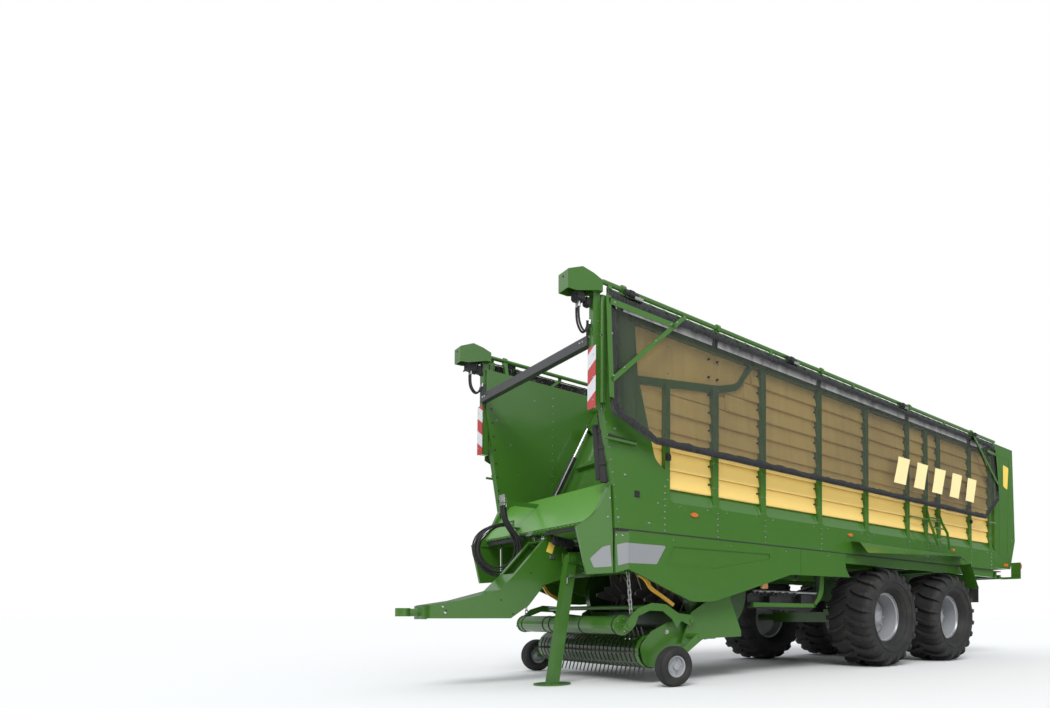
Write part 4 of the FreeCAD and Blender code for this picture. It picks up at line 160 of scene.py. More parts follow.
def spin(bm, profile, centre, sides, side=1.0):
    """Turns a closed profile of (out, radius) points about a wheel's axle; out grows away from the wagon."""
    rings = [[bm.verts.new(round_about(centre, side, out, radius, TURN * k / sides)) for k in range(sides)]
             for out, radius in profile]
    add_skin(bm, rings + rings[:1], caps=False)


def rounded(points, steps=3):
    """Eases an open line of points by cutting its corners, keeping both ends."""
    for _ in range(steps):
        eased = [points[0]]
        for a, b in zip(points, points[1:]):
            for share in (0.25, 0.75):
                eased.append(tuple(p * (1 - share) + q * share for p, q in zip(a, b)))
        points = eased + [points[-1]]
    return points


def round_corners(points):
    """Turns corners given as (y, z, radius) into short arcs."""
    outline = []
    for i, (y, z, *radius) in enumerate(points):
        here = Vector((y, z))
        if not radius:
            outline.append((y, z))
            continue
        ends = []
        for other in (points[i - 1], points[(i + 1) % len(points)]):
            away = Vector(other[:2]) - here
            ends.append(here + away.normalized() * min(radius[0], away.length * 0.45))
        for k in range(5):
            t = k / 4
            outline.append(tuple(ends[0] * (1 - t) ** 2 + here * 2 * t * (1 - t) + ends[1] * t ** 2))
    return outline


def ride(name, data, body, material):
    """Makes a piece of a mesh or curve, gives it its finish and lets it ride on a body."""
    data.materials.append(material)
    piece = bpy.data.objects.new(name, data)
    bpy.context.scene.collection.objects.link(piece)
    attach(piece, body)
    return piece


def split_edges(piece):
    """Keeps the edges of a smooth turned piece sharp."""
    piece.modifiers.new("edges", "EDGE_SPLIT").split_angle = math.radians(32)


class Piece:
    """A piece in the making. One with a side is mirrored to it and gets its name."""

    def __init__(self, name, body, side=0):
        self.name = name + {0: "", 1: "_left", -1: "_right"}[side]
        self.body, self.side, self.bm = body, side or 1, bmesh.new()

    def place(self, spot):
        """A point from metres across, behind and above; a vector is one already."""
        return spot if isinstance(spot, Vector) else at(self.side * spot[0], *spot[1:])

    def box(self, low, high, bevel=0.0):
        add_box(self.bm, self.place(low), self.place(high), bevel)

    def bar(self, start, end, radius, sides=12, radius_end=None):
        add_round(self.bm, self.place(start), self.place(end), radius, sides, radius_end)

    def bolt(self, spot, radius, facing=None):
        """A round bolt head with a shallow dome, standing on a surface."""
        spot = self.place(spot)
        facing = Vector(facing or (self.side, 0, 0)).normalized()
        add_round(self.bm, spot, spot + facing * (radius * 0.7), radius, 10, radius * 0.72)

    def plate(self, corners, thick, facing=None):
        """A flat plate with the given corners, raised along its facing by its thickness."""
        rise = Vector(facing or (self.side, 0, 0)).normalized() * thick
        places = [self.place(corner) for corner in corners]
        add_skin(self.bm, [[self.bm.verts.new(p) for p in places],
                           [self.bm.verts.new(p + rise) for p in places]])

    def done(self, finish_name, smooth=False):
        """Closes the mesh and makes the piece."""
        mesh = bpy.data.meshes.new(self.name)
        bmesh.ops.recalc_face_normals(self.bm, faces=self.bm.faces)
        self.bm.to_mesh(mesh)
        self.bm.free()
        if smooth:
            for face in mesh.polygons:
                face.use_smooth = True
        return ride(self.name, mesh, self.body, finish(finish_name))


def curve_with(name, kind, points, radius, roundness):
    """A curve of one spline along given points, as thick as its cord."""
    line = bpy.data.curves.new(name, "CURVE")
    line.dimensions = "3D"
    line.bevel_depth, line.bevel_resolution = radius, roundness
    spline = line.splines.new(kind)
    spline.points.add(len(points) - 1)
    for spot, place in zip(spline.points, points):
        spot.co = (*place, 1.0)
    return line, spline


def hose_piece(name, points, thick):
    """A smooth round hose on the root; its spline's order and ends are set last."""
    line, spline = curve_with(name, "NURBS", points, thick / 2, 3)
    line.use_fill_caps = True
    spline.order_u = 3
    spline.use_endpoint_u = True
    spline.resolution_u = 8
    return ride(name, line, "root", finish("hose_rubber"))


# ------------------------------------------------------------------ shader groups


class Wires:
    """Short hand for adding nodes to a tree and joining them."""

    def __init__(self, tree):
        self.tree = tree

    def node(self, kind, **values):
        made = self.tree.nodes.new(kind)
        for key, value in values.items():
            setattr(made, key, value)
        return made

    def join(self, out, into):
        self.tree.links.new(out, into)

    def feed(self, socket, value):
        if isinstance(value, bpy.types.NodeSocket):
            self.join(value, socket)
        else:
            socket.default_value = value

    def sum(self, kind, *values):
        made = self.node("ShaderNodeMath", operation=kind)
        for socket, value in zip(made.inputs, values):
            self.feed(socket, value)
        return made.outputs[0]

    def plus(self, a, b):
        return self.sum("ADD", a, b)

    def minus(self, a, b):
        return self.sum("SUBTRACT", a, b)

    def times(self, a, b):
        return self.sum("MULTIPLY", a, b)

    def split(self, vector):
        made = self.node("ShaderNodeSeparateXYZ")
        self.join(vector, made.inputs[0])
        return made.outputs

    def stretched(self, vector, scale):
        made = self.node("ShaderNodeMapping")
        made.inputs["Scale"].default_value = scale
        self.join(vector, made.inputs["Vector"])
        return made.outputs[0]

    def noise(self, vector, scale, detail=3.0, rough=0.5):
        made = self.node("ShaderNodeTexNoise")
        for key, value in (("Vector", vector), ("Scale", scale), ("Detail", detail), ("Roughness", rough)):
            self.feed(made.inputs[key], value)
        return made.outputs["Fac"]

    def band(self, value, low, high, start=0.0, end=1.0):
        made = self.node("ShaderNodeMapRange", interpolation_type="SMOOTHSTEP")
        for key, given in (("Value", value), ("From Min", low), ("From Max", high), ("To Min", start),
                           ("To Max", end)):
            self.feed(made.inputs[key], given)
        return made.outputs["Result"]

    def blend(self, factor, a, b):
        made = self.node("ShaderNodeMix", data_type="RGBA", blend_type="MIX")
        for key, value in (("Factor", factor), ("A", a), ("B", b)):
            self.feed(made.inputs[key], value)
        return made.outputs["Result"]

    def hand_out(self, **results):
        """Joins the results to the group's outputs."""
        for key, value in results.items():
            self.join(value, self.asked[key])


def wire_paint(w):
    """Sprayed paint: faint clouding, orange peel, road dust low down and on ledges, and painted shade within a half
    width across.
    """
    spot, facing = w.split(w.spot), w.split(w.node("ShaderNodeNewGeometry").outputs["True Normal"])
    cloud, fine = w.noise(w.spot, 1.3, 4.0), w.noise(w.spot, 9.0, 5.0)
    shade = w.times(w.minus(w.plus(w.times(cloud, 0.7), w.times(fine, 0.3)), 0.5), w.given["Clouding"])
    # painted shade: within the given half width across, the colour is darkened by 72%, as if in the shade under the
    # wagon
    inner = w.sum("LESS_THAN", w.sum("ABSOLUTE", spot["X"]), w.given["Painted shade within"])
    bright = w.times(w.plus(1.0, w.times(shade, 2.0)), w.minus(1.0, w.times(inner, 0.72)))
    tint = w.node("ShaderNodeVectorMath", operation="SCALE")
    w.join(w.given["Colour"], tint.inputs[0])
    w.join(bright, tint.inputs["Scale"])
    low, ledge = w.band(spot["Z"], 1.25, 0.25), w.band(facing["Z"], 0.55, 0.98)
    dust = w.times(w.plus(w.times(low, 0.8), w.times(ledge, 0.35)), w.band(fine, 0.35, 0.75))
    dust = w.sum("MINIMUM", w.times(dust, w.given["Dust"]), 0.85)
    rough = w.plus(w.given["Gloss"], w.times(dust, 0.45))
    w.hand_out(Colour=w.blend(dust, tint.outputs[0], w.given["Dust colour"]),
               Roughness=w.plus(rough, w.times(w.minus(fine, 0.5), 0.10)), Height=w.noise(w.spot, 160.0, 2.0))


def wire_rubber(w):
    """Rubber: fine grain, with pale dust in its hollows."""
    coarse, grain = w.noise(w.spot, 6.0, 6.0, 0.6), w.noise(w.spot, w.given["Grain"], 4.0, 0.7)
    dust = w.times(w.band(coarse, 0.42, 0.78), w.given["Dust"])
    w.hand_out(Colour=w.blend(dust, w.given["Colour"], (0.16, 0.14, 0.11, 1)),
               Roughness=w.plus(0.62, w.times(grain, 0.25)),
               Height=w.plus(w.times(grain, 0.6), w.times(coarse, 0.4)))


def wire_steel(w):
    """Bare or plated steel: drawn streaks, rubbed patches and a little rust."""
    streak = w.noise(w.stretched(w.spot, (2.0, 40.0, 40.0)), 3.0, 5.0, 0.6)
    rust = w.times(w.band(w.noise(w.spot, 14.0, 6.0, 0.65), 0.52, 0.74), w.given["Rust"])
    shade = w.blend(w.times(streak, 0.5), w.given["Colour"], (0.22, 0.22, 0.22, 1))
    rough = w.plus(w.plus(w.given["Polish"], w.times(streak, 0.18)), w.times(rust, 0.5))
    w.hand_out(Colour=w.blend(rust, shade, (0.16, 0.07, 0.03, 1)), Roughness=rough, Height=streak)


def wire_net(w):
    """Net of fine threads: half see-through, drawn dense and glossy near its upper and front edges."""
    spot = w.split(w.spot)
    folds, cloud = w.noise(w.stretched(w.spot, (1.0, 7.0, 0.8)), 1.6, 4.0, 0.6), w.noise(w.spot, 0.9, 4.0,
            0.55)
    high, front = w.given["Dense above"], w.given["Dense before"]
    above = w.band(w.plus(spot["Z"], w.times(folds, 0.10)), high, w.plus(high, 0.16))
    before = w.band(w.plus(spot["Y"], w.times(cloud, 0.16)), w.plus(front, 0.10), front)
    dense = w.sum("MAXIMUM", above, w.times(before, 0.55))
    closed = w.plus(w.minus(1.0, w.given["Open"]), w.times(w.minus(folds, 0.5), 0.16))
    closed = w.plus(closed, w.times(w.minus(cloud, 0.5), 0.20))
    weave = w.node("ShaderNodeTexWave", bands_direction="Z")
    w.join(w.spot, weave.inputs["Vector"])
    w.join(w.sum("DIVIDE", 0.314, w.given["Pitch"]), weave.inputs["Scale"])
    w.hand_out(Alpha=w.plus(closed, w.times(w.minus(0.96, closed), dense)),
               Colour=w.blend(dense, w.given["Colour"], (0.008, 0.008, 0.009, 1)),
               Roughness=w.band(w.plus(dense, w.times(folds, 0.3)), 0.0, 1.0, 0.52, 0.20),
               Height=w.plus(w.times(folds, w.plus(1.0, w.times(dense, 5.0))),
                             w.times(weave.outputs["Fac"], 0.02)))


def wire_hem(w):
    """Creased band: tight wrinkles across a glossy black cloth."""
    crease = w.noise(w.stretched(w.spot, (1.0, 1.0, 0.35)), w.given["Crease size"], 3.0, 0.65)
    fine = w.noise(w.spot, 40.0, 5.0, 0.6)
    w.hand_out(Colour=w.blend(w.band(fine, 0.45, 0.8, 0.0, 0.5), w.given["Colour"], (0.007, 0.007, 0.008, 1)),
               Roughness=w.plus(0.10, w.times(fine, 0.22)), Height=w.plus(crease, w.times(fine, 0.3)))


def wire_stripes(w):
    """Slanting stripes of two colours across a board."""
    spot, grain = w.split(w.spot), w.noise(w.spot, 300.0, 2.0)
    slant = w.minus(spot["Z"], w.times(w.sum("ABSOLUTE", spot["X"]), 0.55))
    half = w.sum("LESS_THAN", w.sum("FRACT", w.sum("DIVIDE", slant, w.given["Pitch"])), 0.5)
    w.hand_out(Colour=w.blend(half, w.given["First"], w.given["Second"]),
               Roughness=w.plus(0.25, w.times(grain, 0.15)), Height=grain)


# what wires each group, and its inputs: four numbers are a colour
EFFECTS = {
    "Sprayed paint": (wire_paint, {"Colour": (0.1, 0.3, 0.1, 1), "Clouding": 0.08, "Dust": 0.25,
                                   "Dust colour": (0.30, 0.27, 0.20, 1), "Gloss": 0.30, "Painted shade within": 0.0}),
    "Moulded rubber": (wire_rubber, {"Colour": (0.02, 0.02, 0.02, 1), "Dust": 0.3, "Grain": 90.0}),
    "Bare steel": (wire_steel, {"Colour": (0.5, 0.5, 0.5, 1), "Rust": 0.1, "Polish": 0.3}),
    "Woven net": (wire_net, {"Colour": (0.02, 0.02, 0.02, 1), "Pitch": 0.012, "Open": 0.5, "Dense above": 3.5,
                             "Dense before": -3.5}),
    "Creased band": (wire_hem, {"Colour": (0.015, 0.015, 0.016, 1), "Crease size": 9.0}),
    "Slanting stripes": (wire_stripes, {"First": (0.42, 0.010, 0.008, 1), "Second": (0.62, 0.63, 0.65, 1),
                                        "Pitch": 0.29}),
}


def effect_group(name):
    """The shared node group of this name, wired the first time that it is asked for."""
    if name in bpy.data.node_groups:
        return bpy.data.node_groups[name]
    wire, inputs = EFFECTS[name]
    group = bpy.data.node_groups.new(name, "ShaderNodeTree")
    for label, value in inputs.items():
        kind = "NodeSocketColor" if isinstance(value, tuple) else "NodeSocketFloat"
        group.interface.new_socket(name=label, in_out="INPUT", socket_type=kind).default_value = value
    for label in ("Colour", "Roughness", "Height") + (("Alpha",) if "Open" in inputs else ()):
        kind = "NodeSocketColor" if label == "Colour" else "NodeSocketFloat"
        group.interface.new_socket(name=label, in_out="OUTPUT", socket_type=kind)
    w = Wires(group)
    w.given, w.asked = w.node("NodeGroupInput").outputs, w.node("NodeGroupOutput").inputs
    w.spot = w.node("ShaderNodeTexCoord").outputs["Object"]
    wire(w)
    return group


def finish_with(name, group, values, bump, coat=0.0, metallic=0.0, specular=0.5, relief=0.002):
    """A material whose colour, roughness, bump and see-through share come from one of the shared groups."""
    material = bpy.data.materials.new(name)
    material.use_nodes = True
    w = Wires(material.node_tree)
    shader = w.tree.nodes["Principled BSDF"].inputs
    effect = w.node("ShaderNodeGroup", node_tree=effect_group(group))
    for key, value in values.items():
        effect.inputs[key].default_value = value
    height = w.node("ShaderNodeBump")
    for socket, value in ((height.inputs["Strength"], bump), (height.inputs["Distance"], relief),
                          (height.inputs["Height"], effect.outputs["Height"]),
                          (shader["Base Color"], effect.outputs["Colour"]),
                          (shader["Roughness"], effect.outputs["Roughness"]),
                          (shader["Normal"], height.outputs["Normal"]), (shader["Metallic"], metallic),
                          (shader["Coat Weight"], coat), (shader["Coat Roughness"], 0.08),
                          (shader["Specular IOR Level"], specular)):
        w.feed(socket, value)
    if "Alpha" in effect.outputs:
        w.join(effect.outputs["Alpha"], shader["Alpha"])
    return material


def finish(name):
    """One of the wagon's finishes, made the first time that it is asked for."""
    if name in bpy.data.materials:
        return bpy.data.materials[name]
    p, s = paint(), sizes()

    # the last argument is a half width across within which the colour is darkened by painted shade
    def painted(colour, dust=0.04, gloss=0.30, coat=0.25, clouding=0.05, painted_shade_within=0.0):
        return finish_with(name, "Sprayed paint", {"Colour": (*colour, 1), "Dust": dust, "Gloss": gloss,
                                                   "Clouding": clouding, "Painted shade within": painted_shade_within}, 0.02,
                           coat)

    def steel(colour, rust, polish, metallic=0.9, specular=0.5):
        return finish_with(name, "Bare steel", {"Colour": (*colour, 1), "Rust": rust, "Polish": polish}, 0.08,
                           metallic=metallic, specular=specular)

    def rubber(colour, dust, grain, bump=0.25, coat=0.0):
        return finish_with(name, "Moulded rubber", {"Colour": (*colour, 1), "Dust": dust, "Grain": grain},
                           bump, coat)

    def lens(colour):
        return rubber(colour, 0.03, 260.0, 0.4, coat=1.0)

    def net():
        return finish_with(name, "Woven net", {"Colour": (*p.net, 1), "Pitch": s.mesh_pitch,
                                               "Open": s.net_open, "Dense above": 3.55,
                                               "Dense before": POST_Y + 0.22}, 0.9, relief=0.035)

    def hem():
        return finish_with(name, "Creased band", {"Colour": (0.003, 0.003, 0.0035, 1), "Crease size": 18.0},
                           1.0, coat=0.3, relief=0.02)

    return {
        "green_paint": lambda: painted(p.body),
        # painted shade: the feed channel and deck get the body green darkened to 0.42, a shaded copy, with some dust
        "shaded_green": lambda: painted(tuple(c * 0.42 for c in p.body), dust=0.15),
        # painted shade: the pickup frame's colour is darkened between its ends, within 0.985 across, where the bands
        # lie in shade
        "pickup_shaded_paint": lambda: painted(p.body, painted_shade_within=0.985),
        "hood_paint": lambda: painted(p.hood, gloss=0.32, coat=0.2),
        "board_paint": lambda: painted(p.boards, dust=0.1, gloss=0.36, coat=0.1),
        "rim_paint": lambda: painted(p.rim, dust=0.15, gloss=0.38, coat=0.1),
        "dark_paint": lambda: painted((0.035, 0.036, 0.037), gloss=0.40, coat=0.1),
        "black_paint": lambda: painted((0.010, 0.010, 0.011), dust=0.10),
        "inset_silver": lambda: painted((0.245, 0.255, 0.265), dust=0.02, gloss=0.36, clouding=0.03),
        "block_orange": lambda: painted((0.60, 0.30, 0.10), dust=0.2),
        "sticker_yellow": lambda: painted((0.86, 0.62, 0.10), dust=0.02, gloss=0.42, clouding=0.03),
        "duct_yellow": lambda: painted((0.80, 0.45, 0.05), dust=0.1, gloss=0.40),
        "bar_print": lambda: painted((0.86, 0.73, 0.36), dust=0.0, gloss=0.55, coat=0.0, clouding=0.03),
        "tyre_rubber": lambda: rubber((0.011, 0.011, 0.011), 0.12, 60.0),
        "hose_rubber": lambda: rubber((0.012, 0.012, 0.013), 0.05, 300.0, 0.1),
        "flap_rubber": lambda: rubber((0.016, 0.016, 0.016), 0.2, 120.0),
        "black_plastic": lambda: rubber((0.015, 0.015, 0.016), 0.06, 220.0, 0.08),
        "bright_steel": lambda: steel((0.62, 0.62, 0.61), 0.02, 0.16),
        "worn_steel": lambda: steel((0.30, 0.29, 0.28), 0.35, 0.42),
        "zinc_steel": lambda: steel((0.55, 0.55, 0.53), 0.04, 0.32),
        "flange_steel": lambda: steel((0.46, 0.47, 0.48), 0.02, 0.28),
        "tine_steel": lambda: steel((0.030, 0.026, 0.022), 0.25, 0.62, metallic=0.0, specular=0.25),
        "red_lens": lambda: lens((0.42, 0.008, 0.008)),
        "orange_lens": lambda: lens((0.55, 0.13, 0.006)),
        "side_mesh": net,
        "net_hem": hem,
        "stripe_board": lambda: finish_with(name, "Slanting stripes", {}, 0.03, coat=0.4),
    }[name]()


# ------------------------------------------------------------------ operators


class WAGON_OT_studio(bpy.types.Operator):
    """Camera, floor and soft studio light"""
    bl_idname = "wagon.studio"
    bl_label = "Studio"

    def execute(self, context):
        s = studio()
        camera = bpy.data.objects.new("camera", bpy.data.cameras.new("camera"))
        context.scene.collection.objects.link(camera)
        camera.data.lens = s.lens
        camera.data.sensor_width = 36.0
        camera.data.shift_x, camera.data.shift_y = -0.2206, 0.2327
        camera.data.clip_start, camera.data.clip_end = 0.05, 800.0
        camera.location = at(6.5984, -3.2829, 0.6804)
        heading, rise = math.radians(44.8232), math.radians(1.6035)
        camera.rotation_euler = (math.radians(90) + rise, 0.0, heading)
        context.scene.camera = camera
        self.floor(context, s)
        self.lights(context, s)
        return {"FINISHED"}

    def floor(self, context, s):
        bm = bmesh.new()
        bmesh.ops.create_grid(bm, x_segments=8, y_segments=8, size=s.floor_half)
        mesh = bpy.data.meshes.new("studio_floor")
        bm.to_mesh(mesh)
        bm.free()
        sweep = bpy.data.objects.new("studio_floor", mesh)
        context.scene.collection.objects.link(sweep)
        cover = bpy.data.materials.new("studio_white")
        cover.use_nodes = True
        shader = cover.node_tree.nodes["Principled BSDF"]
        shader.inputs["Base Color"].default_value = (*s.floor, 1)
        shader.inputs["Roughness"].default_value = 0.85
        mesh.materials.append(cover)

    def lights(self, context, s):
        world = bpy.data.worlds.new("studio_air")
        world.use_nodes = True
        w = Wires(world.node_tree)
        soft = world.node_tree.nodes["Background"]
        soft.inputs["Color"].default_value = (0.93, 0.96, 1.0, 1)
        way = w.node("ShaderNodeSeparateXYZ")
        w.join(w.node("ShaderNodeTexCoord").outputs["Generated"], way.inputs[0])
        w.join(w.band(way.outputs["Z"], -0.05, 0.75, 0.16 * s.air, 2.6 * s.air), soft.inputs["Strength"])
        white = w.node("ShaderNodeBackground")
        white.inputs["Color"].default_value = (1.0, 1.0, 1.0, 1)
        seen = w.node("ShaderNodeLightPath").outputs["Is Camera Ray"]
        mixed = w.node("ShaderNodeMixShader")
        w.join(seen, mixed.inputs[0])
        w.join(soft.outputs[0], mixed.inputs[1])
        w.join(white.outputs[0], mixed.inputs[2])
        w.join(mixed.outputs[0], world.node_tree.nodes["World Output"].inputs["Surface"])
        context.scene.world = world
        for name, place, size, power in (("key", (9.0, -9.0, 13.0), 28.0, s.key_power),
                                         ("fill", (-8.0, -12.0, 7.0), 60.0, s.key_power * 0.17),
                                         ("side", (14.0, 1.0, 3.0), 50.0, s.key_power * 0.32)):
            lamp = bpy.data.lights.new(name, "SUN")
            lamp.energy, lamp.angle = power, math.radians(size)
            holder = bpy.data.objects.new(name, lamp)
            holder.location = place
            holder.rotation_euler = (Vector((0, 0, 1.5)) - Vector(place)).to_track_quat("-Z", "Y").to_euler()
            context.scene.collection.objects.link(holder)
        context.scene.view_settings.view_transform = "Standard"


class WAGON_OT_finishes(bpy.types.Operator):
    """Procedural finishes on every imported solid"""
    bl_idname = "wagon.finishes"
    bl_label = "Finishes"
    # every solid that is not named here is green
    STARTS = {
        "tyre_rubber": ("tyre_", "gauge_tyre"), "hose_rubber": ("hose_1", "hose_2", "hose_3"),
        "flap_rubber": "mudflap", "black_plastic": "side_lamps", "red_lens": "rear_lamps", "net_hem": "net_",
        "stripe_board": "warning_boards", "rim_paint": ("rim_", "gauge_rim"), "board_paint": "wall_boards",
        # the feed channel and deck take a shaded copy of the green, as painted shade
        "hood_paint": "hood", "dark_paint": "front_crossbar", "shaded_green": ("feed_channel", "feed_deck"),
        # the pickup frame takes painted shade between its ends
        "pickup_shaded_paint": "pickup_frame", "black_paint": ("wall_barrels", "drawbar_barrels", "side_gear"),
        "tine_steel": "pickup_reel", "worn_steel": ("scraper", "feed_rotor", "knife", "floor_plate"),
        "zinc_steel": "roller_chains", "bright_steel": ("hose_couplings", "drawbar_rods", "wall_rods"),
    }

    def execute(self, context):
        for node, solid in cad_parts.items():
            named = [name for name, starts in self.STARTS.items() if node.startswith(starts)]
            material = finish(named[0] if named else "green_paint")
            for slot in solid.material_slots:
                slot.material = material
        return {"FINISHED"}


class WAGON_OT_hoses(bpy.types.Operator):
    """Hydraulic hoses that hang in a loop beside the drawbar"""
    bl_idname = "wagon.hoses"
    bl_label = "Hoses"
    ROUTE = ((-0.19, 1.86), (-0.19, 1.705), (0.02, 1.48), (0.0, 1.27), (-0.13, 1.15), (-0.3, 1.16),
             (-0.42, 1.29), (-0.43, 1.46), (-0.33, 1.6), (-0.17, 1.688), (-0.062, 1.688))
    # where the first hose starts across, the step to the next, and how far each drifts on its way
    FIRST, PITCH, DRIFT = -0.232, 0.036, 0.132
    THICK = 0.022

    def points(self, number):
        """Points of one hose, from its coupling round the slack loop to the bulkhead."""
        start, steps = self.FIRST - number * self.PITCH, len(self.ROUTE) - 3
        across = [start - self.DRIFT * min(max(i - 1, 0), steps) / steps for i in range(len(self.ROUTE))]
        return [at(x, y, z) for x, (y, z) in zip(across, self.ROUTE)]

    def execute(self, context):
        for number in range(3):
            node = "hose_%d" % (number + 1)
            points = self.points(number)
            hose = hose_piece("hydraulic_" + node, points, self.THICK)
            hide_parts(node)
        return {"FINISHED"}


class WAGON_OT_loops(bpy.types.Operator):
    """Further hoses and the lamp cable, which hang beside the first three from the same holder"""
    bl_idname = "wagon.loops"
    bl_label = "More hoses"
    CENTRE = (-0.19, 1.42)
    # how far the ends stand behind and below those of the first three
    BEHIND, BELOW = 0.022, 0.02
    # a smooth loop is shorter than the line through its points
    CUT = 0.965
    # start across, end across, spread of the loop, thickness
    LINES = ((-0.25, -0.4, 1.16, 0.016), (-0.286, -0.428, 0.8, 0.016), (-0.318, -0.356, 1.09, 0.012),
             (-0.226, -0.446, 0.88, 0.01))

    def execute(self, context):
        route = WAGON_OT_hoses.ROUTE
        ends = Piece("slack_hose_ends", "root")
        for number, (first, last, spread, thick) in enumerate(self.LINES):
            points = []
            steps = len(route) - 1
            for i, (y, z) in enumerate(route):
                share = min(max(i - 1, 0), steps - 2) / (steps - 2)
                grow = spread if 1 < i < steps - 1 else 1.0
                y = self.CENTRE[0] + (y - self.CENTRE[0]) * grow
                z = self.CENTRE[1] + (z - self.CENTRE[1]) * grow
                y += self.BEHIND if i < 2 else 0.0
                z -= self.BELOW if i > 7 else 0.0
                points.append(at(first + (last - first) * share, y, z))
            hose = hose_piece("slack_hose_%d" % (number + 1), points, thick)
            top, tip = points[0], points[-1]
            for low, high, wide, sides in ((-0.02, 0.03, 0.62, 12), (0.03, 0.075, 0.78, 6)):
                ends.bar(top + Vector((0, 0, low)), top + Vector((0, 0, high)), thick * wide, sides)
            ends.bar(tip + Vector((0, -0.03, 0)), tip + Vector((0, 0.032, 0)), thick * 0.62)
        ends.done("bright_steel")
        return {"FINISHED"}


